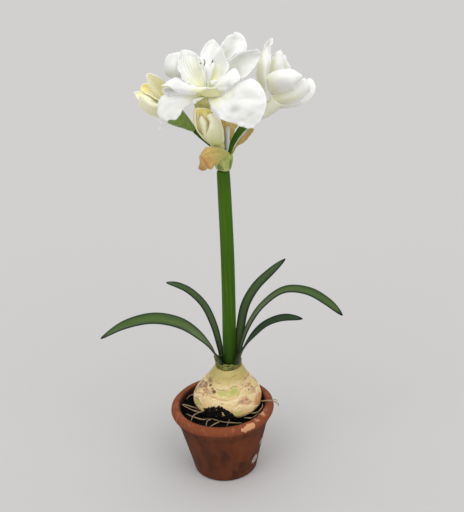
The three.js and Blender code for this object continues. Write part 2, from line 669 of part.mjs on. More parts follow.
const FRONT_BUD = {
  left: [
    [[10.5, -14, 442.5], [8.5, -17, 443.5], [10, -20, 443.5]],
    [[3, -24, 458], [-3, -27, 458.5], [0.5, -33, 462]],
    [[-1.5, -32, 475], [-10, -32, 477], [-4.5, -41, 471.5]],
    [[-3, -36, 487], [-10, -37, 488.5], [-7, -44, 484]],
    [[-3, -38, 494], [-8.5, -41, 496.5], [-7, -46, 494]],
    [[-0.5, -39, 495], [-5.5, -42, 498], [-6, -45, 497]],
  ],
  back: [
    [[8.5, -14, 443], [10, -10, 441], [13, -12, 442]],
    [[-1, -28, 463.5], [3, -24, 463], [11.5, -24, 464]],
    [[-5, -38, 482], [0.5, -33, 481], [10.5, -32, 479]],
    [[-6, -42, 494], [0.5, -38, 492.5], [10.5, -36, 487.5]],
    [[-4, -42, 497.5], [1, -41, 497.5], [10, -38, 492]],
  ],
  core: [
    [[7, -20, 446.5], [8, -24, 448.5], [9, -22, 447.5]],
    [[-0.5, -36, 463.5], [1, -40, 465.5], [3.5, -38, 465.5]],
    [[-4, -41, 478], [0, -46, 476], [4.5, -42, 475.5]],
    [[-5, -43, 486], [-1, -46, 484.5], [3.5, -43, 481.5]],
    [[-3, -44, 490], [-2, -44, 490], [-1, -44, 489]],
  ],
  folded: [
    [[3, -36, 466], [4, -35, 467], [6, -35, 468]],
    [[0.5, -41, 482.5], [2.5, -40, 481], [5, -40, 481]],
    [[-1, -43, 491.5], [2, -42, 490.5], [5.5, -42, 489.5]],
    [[-0.5, -43, 494.5], [2, -42, 494.5], [5, -42, 492.5]],
  ],
  right: [
    [[8.5, -18, 443.5], [13.5, -22, 443], [19.5, -14, 442]],
    [[1, -36, 461.5], [10.5, -39, 459], [21, -24, 455]],
    [[4.5, -46, 474.5], [12, -48, 474.5], [20.5, -30, 468]],
    [[6.5, -48, 483], [11.5, -50, 484.5], [18, -36, 480]],
    [[4.5, -47, 489.5], [8.5, -49, 491.5], [13.5, -41, 487]],
    [[5.5, -45, 492], [8, -46, 493], [11, -43, 492]],
  ],
};

// A bloom is a tube that widens from the end of its stalk, with the petals grown
// on it.
function bloom(pedicel, path, radii, petals, extra = []) {
  const end = v3(pedicel.path.at(-1));
  const curve = new THREE.CatmullRomCurve3(pedicel.path.map(v3), false, "centripetal");
  const along = curve.getTangent(1);
  const start = [0.3, 1.5].map((d) => end.clone().addScaledVector(along, d).toArray());
  const r = pedicel.radii.at(-1);
  const parts = [
    stalk([...start, ...path], [r, r + 0.4, ...radii], 10, 2),
    ...Object.values(petals).map((rails) => petal(rails, PETAL)),
    ...extra,
  ];
  return largest(join(parts).simplify(0.12));
}

function stamen(anther) {
  const foot = new THREE.Vector3(5, -46, 514);
  const head = v3(anther.at(-1));
  const bend = foot.clone().lerp(head, 0.6).add(v3([0, -3, 0]));
  const path = [foot, bend, head].map((p) => p.toArray());
  return join([
    stalk(path, [0.9, 0.7, 0.5], 5, 3),
    stalk(anther, [0.4, 0.9, 0.9, 0.4].slice(0, anther.length), 6, 1),
  ]);
}

// ---------------------------------------------------------------- assembly

const COLOURS = {
  clay: [0x6b3524, 0.85], soil: [0x1c1512, 0.95], bulb: [0xdcc48e, 0.6],
  sheath: [0x7c9660, 0.6], scape: [0x4b7318, 0.45], leaf: [0x4f7340, 0.45],
  collar: [0x93a35c, 0.5], bract: [0xc79a5a, 0.7], film: [0xc9cdca, 0.5],
  petal: [0xf6f6f2, 0.5], bud: [0xebe4b4, 0.5],
};

// A solid as a named mesh with the colour of its kind.
function piece(name, body, kind) {
  const mesh = body.getMesh();
  const geometry = new THREE.BufferGeometry();
  geometry.setAttribute(
    "position",
    new THREE.BufferAttribute(new Float32Array(mesh.vertProperties), 3),
  );
  geometry.setIndex(new THREE.BufferAttribute(new Uint32Array(mesh.triVerts), 1));
  geometry.computeVertexNormals();
  const [color, roughness] = COLOURS[kind];
  const material = new THREE.MeshStandardMaterial({ color, roughness, metalness: 0 });
  const item = new THREE.Mesh(geometry, material);
  item.name = name;
  return item;
}

function group(name, ...items) {
  const made = new THREE.Group();
  made.name = name;
  return made.add(...items);
}

const leaves = Object.entries(LEAVES).map(([name, leaf]) =>
  piece(name, blade(leaf, LEAF), "leaf"),
);
const pedicels = Object.entries(PEDICELS).map(([name, { path, radii }]) =>
  piece(name, stalk(path, radii), "scape"),
);
const bract = (...sheets) =>
  trim(join(sheets.map((rails) => petal(rails, BRACT))), collar(GAP));
const spathe = [
  piece("spathe_front", bract(BRACTS.front, BRACTS.corner), "bract"),
  piece("spathe_back", bract(BRACTS.back), "bract"),
  piece("spathe_right", bract(BRACTS.right), "bract"),
  piece("bracteole", bract(BRACTS.membrane), "film"),
];

const flowerFront = bloom(
  PEDICELS.pedicel_front,
  [[1, -12, 480], [-0.5, -22, 498], [6, -43, 514]],
  [7.5, 9.5, 10],
  FRONT_FLOWER,
  ANTHERS.map(stamen),
);
const flowerRight = bloom(
  PEDICELS.pedicel_right,
  [[70, 5, 472.5], [73.5, 5, 480], [78, 5, 490]],
  [5.5, 8, 9.5],
  RIGHT_FLOWER,
);
const budLeft = bloom(
  PEDICELS.pedicel_left,
  [[-20, -13.5, 471], [-28, -14, 478], [-38, -16, 487]],
  [6.5, 10, 12.5],
  LEFT_BUD,
);
const budFront = bloom(
  PEDICELS.pedicel_bud,
  [[15.5, -15, 442], [12, -22, 450]],
  [6, 8.5],
  FRONT_BUD,
);

const umbel = group(
  "umbel",
  piece("spathe_collar", collar(0), "collar"),
  ...pedicels,
  ...spathe,
  piece("flower_front", flowerFront, "petal"),
  piece("flower_right", flowerRight, "petal"),
  piece("bud_left", budLeft, "bud"),
  piece("bud_front", budFront, "bud"),
);

const plant = group(
  "plant",
  piece("bulb", bulb(), "bulb"),
  piece("neck_sheath", neckSheath(), "sheath"),
  piece("scape", scape(), "scape"),
  group("leaves", ...leaves),
  umbel,
);

const container = group(
  "container",
  piece("pot", pot(), "clay"),
  piece("soil", trim(soil(), bulbBody(GAP)), "soil"),
);

export default group("potted_amaryllis", container, plant);
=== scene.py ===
# %% [markdown]
# # A potted amaryllis in bloom
# A forced bulb stands half out of the soil in a small clay pot. One thick stem
# carries two open double flowers and two buds. Every piece is made in the frame of
# the CAD part, in metres: +Z is up and -Y is the front of the plant.

# %% Load the CAD part
import math
import random
import bmesh
import bpy
from mathutils import Matrix, Vector, noise


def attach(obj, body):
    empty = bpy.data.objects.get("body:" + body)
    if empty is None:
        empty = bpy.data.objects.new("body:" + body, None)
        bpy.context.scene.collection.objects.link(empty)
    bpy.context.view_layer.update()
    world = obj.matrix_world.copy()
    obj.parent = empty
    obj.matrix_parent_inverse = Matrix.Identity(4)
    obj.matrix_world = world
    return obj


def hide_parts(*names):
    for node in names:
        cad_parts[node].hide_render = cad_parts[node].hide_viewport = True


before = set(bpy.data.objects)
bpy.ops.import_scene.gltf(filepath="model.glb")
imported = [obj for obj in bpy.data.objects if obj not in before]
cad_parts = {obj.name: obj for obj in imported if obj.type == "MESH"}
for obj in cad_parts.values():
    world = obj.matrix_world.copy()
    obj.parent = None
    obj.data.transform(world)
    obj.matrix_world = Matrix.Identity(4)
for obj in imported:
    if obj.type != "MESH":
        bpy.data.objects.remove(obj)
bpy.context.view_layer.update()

MM = 0.001  # the sizes of the plant are written in millimetres
print("CAD nodes:", len(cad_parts))

# %% [markdown]
# ## Camera and light
# The camera looks down on the plant from the front with a long lens, so the pot
# shows its mouth and the flowers show their cups. Two large soft lamps stand left
# and right in front, a third hangs above, and a pale even world fills the shadows.

# %% Camera
CAMERA_AT = Vector((0.02253, -1.22813, 0.90179))
LOOKS_DOWN = 26.18  # degrees below the horizon
TILT = 3.17  # degrees of roll
FOCAL = 81.14  # millimetres on a 36 mm frame

camera = bpy.data.objects.new("camera", bpy.data.cameras.new("camera"))
camera.data.lens = FOCAL
camera.data.clip_end = 50
camera.location = CAMERA_AT
pitch = Matrix.Rotation(math.radians(90 - LOOKS_DOWN), 4, "X")
roll = Matrix.Rotation(math.radians(-TILT), 4, "Z")
camera.rotation_euler = (pitch @ roll).to_euler()
bpy.context.collection.objects.link(camera)
bpy.context.scene.camera = camera
bpy.context.scene.view_settings.view_transform = "Standard"
print("camera", tuple(round(v, 3) for v in camera.location))

# %% Lamps and world
def lamp(name, turn, rise, strength, softness):
    """A far soft lamp: turn is degrees round to the right, rise degrees up."""
    light = bpy.data.lights.new(name, "SUN")
    light.energy = strength
    light.angle = math.radians(softness)
    light.color = (1.0, 1.0, 0.99)
    holder = bpy.data.objects.new(name, light)
    holder.rotation_euler = (math.radians(90 - rise), 0, math.radians(turn))
    bpy.context.collection.objects.link(holder)


lamp("lamp_left", -38, 52, 0.54, 35)
lamp("lamp_right", 34, 50, 0.66, 35)
lamp("lamp_top", 10, 80, 0.35, 50)

world = bpy.data.worlds.new("studio")
world.use_nodes = True
world.node_tree.nodes["Background"].inputs[0].default_value = (0.98, 0.99, 1, 1)
world.node_tree.nodes["Background"].inputs[1].default_value = 0.78
bpy.context.scene.world = world
print("lamps", len(bpy.data.lights))

# %% [markdown]
# ## Helpers for materials
# Colours are sRGB hex values, turned to linear light by one function. One function
# adds a node with its settings and links. A material is a base colour with layers
# over it, each laid through a mask. Masks read Object coordinates in metres, or the
# piece's own UV map, whose units are metres along and across a leaf or petal.

# %% Colour and nodes
def linear(hex_colour):
    """An sRGB hex value as linear RGBA."""
    parts = [int(hex_colour[i : i + 2], 16) / 255 for i in (1, 3, 5)]
    return [c / 12.92 if c <= 0.04045 else ((c + 0.055) / 1.055) ** 2.4 for c in parts] + [1]


def add(tree, kind, inputs=None, **settings):
    """Adds a node with its settings. An input is a value, a hex colour, a socket or a node."""
    made = tree.nodes.new("ShaderNode" + kind)
    for key, value in settings.items():
        setattr(made, key, value)
    for key, value in (inputs or {}).items():
        if isinstance(value, str):
            value = linear(value)
        if isinstance(value, bpy.types.Node):
            value = value.outputs[0]
        if isinstance(value, bpy.types.NodeSocket):
            tree.links.new(value, made.inputs[key])
        else:
            made.inputs[key].default_value = value
    return made


def surface(name, **settings):
    """A new material, its node tree and its Principled shader with some inputs set."""
    print("material", name)
    material = bpy.data.materials.new(name)
    material.use_nodes = True
    tree = material.node_tree
    shader = tree.nodes["Principled BSDF"]
    for key, value in settings.items():
        shader.inputs[key.replace("_", " ")].default_value = value
    return material, tree, shader


def paint(tree, shader, base, *layers, relief=()):
    """Lays (mask, colour) layers over a base, and (pattern, height in mm, strength) reliefs.

    Shares that follow a layer's colour make its mask fainter.
    """
    colour, below = base, {}
    for mask, over, *shares in layers:
        for share in shares:
            mask = add(tree, "Math", {0: mask, 1: share}, operation="MULTIPLY")
        colour = add(tree, "Mix", {0: mask, 6: colour, 7: over}, data_type="RGBA").outputs[2]
    tree.links.new(colour, shader.inputs["Base Color"])
    for pattern, high, strength in relief:
        bump = {"Height": pattern, "Distance": high * MM, "Strength": strength, **below}
        below = {"Normal": add(tree, "Bump", bump)}
        tree.links.new(below["Normal"].outputs[0], shader.inputs["Normal"])

# %% Masks
def spots(tree, vector, size_mm, low, high, detail=3.0, stretch=(1, 1, 1)):
    """A soft mask, 0 to 1, of spots about size_mm across."""
    scaled = add(tree, "Mapping", {0: vector, 3: stretch})
    grain = add(tree, "TexNoise", {0: scaled, 2: 1000 / size_mm, 3: detail})
    return add(tree, "MapRange", {0: grain, 1: low, 2: high})


def band(tree, vector, low_mm, high_mm, most=1.0):
    """A mask that rises from 0 at one height to its most at another."""
    height = add(tree, "SeparateXYZ", {0: vector}).outputs[2]
    return add(tree, "MapRange", {0: height, 1: low_mm * MM, 2: high_mm * MM, 4: most})


def near(tree, vector, *places):
    """A mask of patches, each a (point, radius, raggedness) in millimetres."""
    grain = add(tree, "TexNoise", {0: vector, 2: 420, 3: 4})  # about 2.4 mm across
    found = 0.0
    for point, radius, ragged in places:
        centre = [c * MM for c in point]
        away = add(tree, "VectorMath", {0: vector, 1: centre}, operation="DISTANCE").outputs[1]
        torn = add(tree, "Math", {0: grain, 1: -ragged * 2 * radius * MM, 2: away},
                   operation="MULTIPLY_ADD")
        edge = (1 - ragged) * radius * MM
        patch = add(tree, "MapRange", {0: torn, 1: edge, 2: edge * 0.75})
        found = add(tree, "Math", {0: patch, 1: found}, operation="MAXIMUM")
    return found


def marks_of(tree):
    """The four marks that a shape carries at its vertices."""
    source = add(tree, "Attribute", attribute_name="marks")
    return [*add(tree, "SeparateColor", {0: source}).outputs, source.outputs[3]]

# %% [markdown]
# ## Helpers for shapes
# Pot, soil and bulb are profiles that are spun once round. A stem, stalk or root is a
# circle that is extruded along a path. A leaf is a flat grid whose points are moved
# onto a curved midrib with a cupped section. A petal or bract is a grid laid over
# three curves, its two edges and its midrib. Solidify then makes the sheet thick.

# %% Curves
def curve(points):
    """A smooth curve through all the points, as a function of the share 0 to 1."""
    p = [Vector(q) for q in points]
    p = [2 * p[0] - p[1]] + p + [2 * p[-1] - p[-2]]
    gaps = [max((b - a).length, 1e-3) ** 0.5 for a, b in zip(p, p[1:])]

    def at(t):
        i = max(0, min(int(t * (len(p) - 3)), len(p) - 4))
        u = t * (len(p) - 3) - i
        a, b, c, d = p[i : i + 4]
        ab, bc, cd = gaps[i : i + 3]
        m1 = ((b - a) / ab - (c - a) / (ab + bc) + (c - b) / bc) * bc
        m2 = ((c - b) / bc - (d - b) / (bc + cd) + (d - c) / cd) * bc
        return b + m1 * u + (3 * (c - b) - 2 * m1 - m2) * u**2 + (2 * (b - c) + m1 + m2) * u**3

    return at


def heading(path, t):
    """The direction of a curve at share t."""
    return (path(min(t + 1e-3, 1)) - path(max(t - 1e-3, 0))).normalized()


def mix(a, b, t):
    return a + (b - a) * t


def ramp(x, low, high):
    """0 below low, 1 above high, smooth between."""
    x = max(0.0, min(1.0, (x - low) / (high - low)))
    return x * x * (3 - 2 * x)


def between(points, x):
    """The value at x on a broken line of (x, value) points."""
    k = next(k for k in range(len(points) - 1) if x <= points[k + 1][0])
    (x0, y0), (x1, y1) = points[k : k + 2]
    return mix(y0, y1, (x - x0) / (x1 - x0))

# %% Turned shapes
LONG_EDGE = 9  # longer edges of a profile are cut before it is spun


def spun(profile, steps, cuts=0, merge=0.02):
    """Spins a profile of (radius, height) points once round and closes its open ends."""
    bm = bmesh.new()
    line = [bmesh.ops.create_vert(bm, co=(r * MM, 0, z * MM))["vert"][0] for r, z in profile]
    edges = [bm.edges.new(pair) for pair in zip(line, line[1:])]
    if cuts:
        long = [e for e in edges if e.calc_length() > LONG_EDGE * MM]
        bmesh.ops.subdivide_edges(bm, edges=long, cuts=cuts)
    bmesh.ops.spin(bm, geom=bm.verts[:] + bm.edges[:], cent=(0, 0, 0), axis=(0, 0, 1),
                   angle=2 * math.pi, steps=steps, use_merge=True)
    bmesh.ops.remove_doubles(bm, verts=bm.verts, dist=merge * MM)
    bmesh.ops.holes_fill(bm, edges=bm.edges)
    print("spun", len(profile), "points to", len(bm.faces), "faces")
    return bm

# %% Stalks
def stalk(bm, path, radii, sides=14, steps=6, bumps=0.0):
    """Extrudes a circle along a path in millimetres, thicker or thinner on the way."""
    verts = bmesh.ops.create_circle(bm, segments=sides, radius=1)["verts"]
    edges = list({e for v in verts for e in v.link_edges})
    bmesh.ops.contextual_create(bm, geom=edges)
    count = (len(path) - 1) * steps
    line, across, before = curve(path), Vector(), Matrix.Identity(4)
    for i in range(count + 1):
        t = i / count
        forward = heading(line, t)
        across = across if i else Vector((0.31, 1, 0.17)).cross(forward)
        across = (across - forward * across.dot(forward)).normalized()
        k = min(int(t * (len(radii) - 1)), len(radii) - 2)
        r = mix(radii[k], radii[k + 1], t * (len(radii) - 1) - k)
        r *= 1 + bumps * noise.noise(Vector((t * 9, radii[0] * 7, len(path))))
        turn = Matrix((across, forward.cross(across), forward)).transposed().to_4x4()
        place = Matrix.Translation(line(t) * MM) @ turn @ Matrix.Scale(r * MM, 4)
        if i:
            out = bmesh.ops.extrude_edge_only(bm, edges=edges)["geom"]
            verts = [g for g in out if isinstance(g, bmesh.types.BMVert)]
            edges = [g for g in out if isinstance(g, bmesh.types.BMEdge)]
        bmesh.ops.transform(bm, matrix=place @ before.inverted(), verts=verts)
        before = place
    bmesh.ops.contextual_create(bm, geom=edges)

# %% Leaf sheets
def outline(t, base, belly, tip):
    """Half the width at share t of the length, as a share of the widest."""
    if t < belly:
        return base + (1 - base) * math.sin(math.pi / 2 * t / belly) ** 1.3
    far = ((t - belly) / (1 - belly)) ** tip
    return max(math.cos(math.pi / 2 * far), 0) ** 0.7


def sheet_grid(bm, cols, rows):
    """A flat grid, -1 to 1 both ways, with a layer of marks and a UV map."""
    marks = bm.verts.layers.float_color.get("marks") or bm.verts.layers.float_color.new("marks")
    uv = bm.loops.layers.uv.verify()
    made = bmesh.ops.create_grid(bm, x_segments=cols, y_segments=rows, size=1)["verts"]
    return made, marks, uv


def blade(bm, rib, width, face, tint, face_tip=None, base=0.35, belly=0.55, tip=2.0,
          cup=0.2, wave=0.0, waves=2, phase=0.0, keel=0.0, rows=30, cols=12):
    """Lays a grid along a midrib. tint(s, t) gives the marks, 0 to 1, for the material."""
    grid, marks, uv = sheet_grid(bm, cols, rows)
    face, face_tip = Vector(face), Vector(face_tip or face)
    length = sum((Vector(b) - Vector(a)).length for a, b in zip(rib, rib[1:]))
    line = curve(rib)
    for v in grid:
        s, t = v.co.x, (v.co.y + 1) / 2
        forward = heading(line, t)
        up = face.lerp(face_tip, math.sin(math.pi / 2 * min(1, 1.5 * t)))
        up = (up - forward * up.dot(forward)).normalized()
        side = forward.cross(up)
        half = max(outline(min(t, 0.999), base, belly, tip), 0.03) * width / 2
        ripple = math.sin(2 * math.pi * waves * t + phase + (1.3 if s > 0 else 0))
        edge = abs(s) ** 3 * wave * ripple - keel * math.exp(-((s / 0.16) ** 2))
        reach = s * half * (1 - 0.25 * min(abs(cup), 1.2) * s * s)
        v.co = (line(t) + side * reach + up * half * (cup * s * s + edge)) * MM
        v[marks] = (*tint(s, t), 0, 0, 0)[:4]
        for loop in v.link_loops:
            loop[uv].uv = (s * width / 2 * MM, t * length * MM)

# %% Petal sheets
def spots_of(patches):
    """Soft marks from (mark, s, t, reach in s, reach in t, strength) patches."""

    def tint(s, t):
        found = [0.0] * 4
        for mark, s0, t0, wide, long, strength in patches:
            spot = strength * math.exp(-(((s - s0) / wide) ** 2) - ((t - t0) / long) ** 2)
            found[mark] = min(1.0, found[mark] + spot)
        return found

    return tint


def stations_of(numbers):
    """A flat row of coordinates as stations: a point on one edge, the midrib, the other."""
    points = [numbers[i : i + 3] for i in range(0, len(numbers), 3)]
    return [points[i : i + 3] for i in range(0, len(points), 3)]


def petal(bm, numbers, patches=(), dents=(), ruffle=0.9, ridges=0.04, grooves=4, rim=0.0,
          rows=44, cols=18):
    """Lays a grid over the three rails of its stations, base to tip, and ruffles it.

    s runs from -1 at one edge to 1 at the other, and t from 0 at the base to 1 at the tip.
    """
    grid, marks, uv = sheet_grid(bm, cols, rows)
    stations = stations_of(numbers)
    one, middle, other = [curve(rail) for rail in zip(*stations)]
    length = sum((Vector(b[1]) - Vector(a[1])).length for a, b in zip(stations, stations[1:]))
    width = max((Vector(right) - Vector(left)).length for left, _, right in stations)
    tint, seed = spots_of(patches), Vector(stations[-1][1]) * 1.7
    for v in grid:
        s, t = v.co.x, (v.co.y + 1) / 2
        t *= 1 - 0.045 * s**4 * t**5  # the corners of the tip are rounded
        left, centre, right = one(t), middle(t), other(t)
        half, bend = (right - left) / 2, (left + right) / 2 - centre
        at = centre + half * s + bend * s * s
        side = (half + bend * 2 * s).normalized()
        normal = side.cross(heading(middle, t)).normalized()
        # broad waves, finer ones towards the margin, and the dents that are asked for
        margin = abs(s) ** 2.5 + 0.6 * t**4
        flow = noise.noise(at * 0.09 + seed) + margin * noise.noise(at * 0.2 + seed) * 2
        flow += 0.35 * noise.noise(at * 0.42 + seed) * (0.6 + margin)
        for s0, t0, wide, long, deep in dents:
            flow += deep * math.exp(-(((s - s0) / wide) ** 2) - ((t - t0) / long) ** 2)
        furrow = math.cos(math.pi * grooves * s + 2 * noise.noise(seed + Vector((t, 0, 0))))
        at += normal * (ruffle * flow * ramp(t, 0.05, 0.4) + ridges * furrow * (1.1 - 0.7 * t))
        at += side * s * abs(s) ** 3 * 2.0 * ruffle * noise.noise(Vector((t * 5, s, 3)) + seed)
        v.co = at * MM
        found = tint(s, t)
        # creased sheets get painted shade in their furrows, on mark 2
        found[2] = min(1, found[2] + max(0, ridges - 0.1) * max(0, -furrow) * ramp(t, 0.95, 0.7))
        # rim paints a highlight along the margin and the tip, on mark 3
        found[3] = min(1, found[3] + rim * max(ramp(abs(s), 0.82, 1), ramp(t, 0.95, 1)))
        v[marks] = found
        for loop in v.link_loops:
            loop[uv].uv = (s * width / 2 * MM, t * length * MM)


def piece(bm, name, material, node=None, thick=0.0, smooth=1):
    """Turns a finished bmesh into a piece that rides on the part and stands for a node."""
    mesh = bpy.data.meshes.new(name)
    bm.to_mesh(mesh)
    bm.free()
    mesh.shade_smooth()
    made = bpy.data.objects.new(name, mesh)
    bpy.context.collection.objects.link(made)
    if thick:
        wall = made.modifiers.new("thickness", "SOLIDIFY")
        wall.thickness, wall.offset = thick * MM, 0
    if smooth:
        soft = made.modifiers.new("smooth", "SUBSURF")
        soft.levels = soft.render_levels = smooth
    mesh.materials.append(material)
    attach(made, "root")
    if node:
        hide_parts(node)
    print(name, len(mesh.polygons), "faces")

# %% [markdown]
# ## Old clay pot
# The pot is thrown terracotta: a cone with a thick rolled rim and a drain hole. A
# profile of the wall, spun once round, gives it in one closed skin. The vertex moves
# after that make the pot a little uneven, as old hand-made pots are, and press in
# the chip in its rim.

# %% Pot shape
RIM_CHIP = (31.5, -55, 90.6)
# (radius, height) up the outside, over the rim, down the inside and out of the drain hole
POT_PROFILE = [
    (7, 0), (38.5, 0), (40, 1.5), (44, 19), (49, 40), (53, 56), (56.6, 71), (57.2, 72.4),
    (58.6, 73.6), (60, 76.5), (60.5, 80), (60.2, 82.6), (61.6, 83.3), (64.2, 84), (65, 86.4),
    (64.4, 89.5), (61.8, 92.4), (58.6, 94), (55.6, 93.4), (53.5, 91), (53, 82), (49, 64),
    (35, 6), (7, 6), (7, 0),
]
pot = spun(POT_PROFILE, steps=120, cuts=5, merge=0.05)
bmesh.ops.recalc_face_normals(pot, faces=pot.faces)
for v in pot.verts:
    p = v.co / MM
    above_foot = math.hypot(p.x, p.y) > 36 and p.z > 3
    if above_foot:
        v.co *= 1 + 0.004 * noise.noise(v.co * 22)
        away = (p - Vector(RIM_CHIP)).length
        v.co.xy *= 1 - 0.012 * ramp(4.5 + 4 * noise.noise(p * 0.25) - away, 0, 3)

# %% [markdown]
# ## Terracotta
# Low-fired clay is open and matt. Years of water leave it dark and blotched in bands,
# with paler knocks on the rim where bare clay shows and a little white lime below.
# Painted shade darkens the groove under the rim and the inner wall above the soil.

# %% Terracotta material
# the chipped patches of the rim: a point, a radius and a raggedness
CHIPS = [(RIM_CHIP, 4.6, 0.55), ((27.6, -57.6, 89.6), 3.8, 0.55),
         ((36, -52.4, 91.2), 4.2, 0.55), ((24, -59.2, 90.4), 2.4, 0.55)]
terracotta, tree, shader = surface("terracotta_weathered", Roughness=0.82,
                                   Specular_IOR_Level=0.25)
spot = add(tree, "TexCoord").outputs["Object"]
rim_band = band(tree, spot, 77, 84)
worn, inner_edge = spots(tree, spot, 9, 0.5, 0.62, detail=6), band(tree, spot, 90.5, 93.5)
# the inner wall above the soil: a soil stain, made near black as painted shade
outward = add(tree, "VectorMath", {0: spot, 1: (1, 1, 0)}, operation="MULTIPLY")
from_axis = add(tree, "VectorMath", {0: outward}, operation="LENGTH").outputs[1]
inside = add(tree, "MapRange", {0: from_axis, 1: 56.2 * MM, 2: 53.6 * MM, 4: 0.85})
paint(
    tree, shader, "#5a2b14",
    # dark blotches, streaks and a warm patch on the body
    (spots(tree, spot, 30, 0.42, 0.62, detail=5), "#44200e"),
    (spots(tree, spot, 12, 0.45, 0.75, stretch=(1, 1, 0.35)), "#6a3418"),
    (near(tree, spot, ((24, -44, 52), 24, 0.6)), "#7d3c17", 0.35),
    # the rim, painted shade in the groove under its roll, and its scuffs and chips
    (rim_band, "#7e4023"),
    (band(tree, spot, 84.2, 83, most=0.75), "#32160a", band(tree, spot, 80.5, 82.5)),
    (spots(tree, spot, 5, 0.56, 0.7, detail=6), "#95563a", rim_band),
    (worn, "#9c5f42", inner_edge, 0.5),
    (near(tree, spot, ((50, -36, 93), 15, 0.5)), "#c98f70", worn, inner_edge),
    (near(tree, spot, *CHIPS), "#c8926c"),
    # lime below the rim, and inside it the soil stain deepened with painted shade
    (near(tree, spot, ((46, -18, 44), 5, 0.7), ((37.6, -24.3, 21), 6.5, 0.75)), "#b9a9a0",
     spots(tree, spot, 1.8, 0.36, 0.5, detail=4)),
    (inside, "#241510", band(tree, spot, 70, 76)),
    relief=[(spots(tree, spot, 1.2, 0.35, 0.65, detail=2), 0.25, 0.8)],
)
piece(pot, "clay_pot", terracotta, "pot", smooth=0)

# %% [markdown]
# ## Potting soil
# Peat soil fills the pot a little below the rim and clings to the bulb in a dark
# clump. The bed is a spun disc whose points move up and down by a noise formula;
# loose crumbs are small rough balls, thrown with a fixed seed.

# %% Soil bed
SOIL_LEVEL = 86


def soil_top(x, y):
    """The height of the soil at a point: lumps, and a heap in front of the bulb."""
    heap = 4 * math.exp(-(((x + 10) / 13) ** 2) - ((y + 36) / 7) ** 2)
    lumps = noise.noise(Vector((x, y, 0)) * 0.22) + 0.6 * noise.noise(Vector((x, y, 7)) * 0.6)
    return SOIL_LEVEL + heap + 1.3 * lumps


bed = spun([(8, SOIL_LEVEL), (52.6, SOIL_LEVEL)], steps=128, cuts=34)
for v in bed.verts:
    v.co.z = soil_top(*(v.co.xy / MM)) * MM

# %% Crumbs
def crumb(bm, at, size):
    """A rough ball of soil."""
    ball = bmesh.ops.create_icosphere(bm, subdivisions=2, radius=size * MM)["verts"]
    turn = Matrix.Rotation(random.uniform(0, 6.3), 4, (random.random(), 1, random.random()))
    for v in ball:
        v.co *= 1 + 0.45 * noise.noise(v.co * (900 / size) + Vector(at))
    squash = Matrix.Diagonal((1, random.uniform(0.6, 1), random.uniform(0.5, 0.9), 1))
    bmesh.ops.transform(bm, matrix=Matrix.Translation(Vector(at) * MM) @ turn @ squash, verts=ball)


def gather(target, places, batch=30):
    """Adds crumbs to a mesh in batches, because an operator walks all that is there."""
    for start in range(0, len(places), batch):
        few = bmesh.new()
        for at, size in places[start : start + batch]:
            crumb(few, at, size)
        mesh = bpy.data.meshes.new("few")
        few.to_mesh(mesh)
        few.free()
        target.from_mesh(mesh)
        bpy.data.meshes.remove(mesh)


LOOSE_CRUMBS = 260
random.seed(11)
crumbs = bmesh.new()
loose = []
for _ in range(LOOSE_CRUMBS):
    angle, r = random.uniform(0, 2 * math.pi), random.uniform(34, 51.5)
    x, y = r * math.cos(angle), r * math.sin(angle)
    size = random.choice((0.7, 0.9, 1.2, 1.7))
    loose.append(((x, y, soil_top(x, y) + size * 0.3), size))
gather(crumbs, loose)
print(len(loose), "loose crumbs")

# %% [markdown]
# ## Peat
# Wet peat is nearly black and has no shine, with paler fibres here and there.

# %% Peat material
peat, tree, shader = surface("peat_soil", Roughness=0.95, Specular_IOR_Level=0.15)
spot = add(tree, "TexCoord").outputs["Object"]
paint(
    tree, shader, "#0a0705",
    (spots(tree, spot, 3, 0.52, 0.75, detail=5), "#1f1711"),
    (spots(tree, spot, 1.2, 0.69, 0.76), "#4a3829"),
    relief=[(spots(tree, spot, 1.5, 0.3, 0.7), 0.6, 1)],
)
piece(bed, "soil_bed", peat, "soil", smooth=0)

# %% [markdown]
# ## The bulb
# An amaryllis bulb is built of fleshy scales like an onion. Each outer scale ends in a
# torn, browned edge below the neck, and fresh green shows beneath it. The body is a
# spun profile. A formula then lifts each scale's edge proud of the one below it and
# marks the edge, the green and the brown hollow floors for the material. The edge mark
# is the dried brown edge with painted shade in the gap beside it, and a pale band along
# the proud edge is a painted highlight.

# %% Bulb shape
BULB_FOOT, NECK_TOP = 71, 149
BULB_X = 7.6
NECK = (10.9, 0)
BULB_RINGS = 150
# (height, radius) up the bulb
BULB_PROFILE = [
    (71, 3), (71.5, 11), (75, 19), (80, 25), (85, 29.5), (89, 33.8), (92.5, 37.8), (96, 41),
    (99.6, 42.6), (103, 42.6), (106, 42.1), (112, 39.6), (118, 36), (123, 33), (129, 28.8),
    (134, 25.4), (139, 22.5), (143, 20.3), (146, 18.6), (149, 17.3),
]
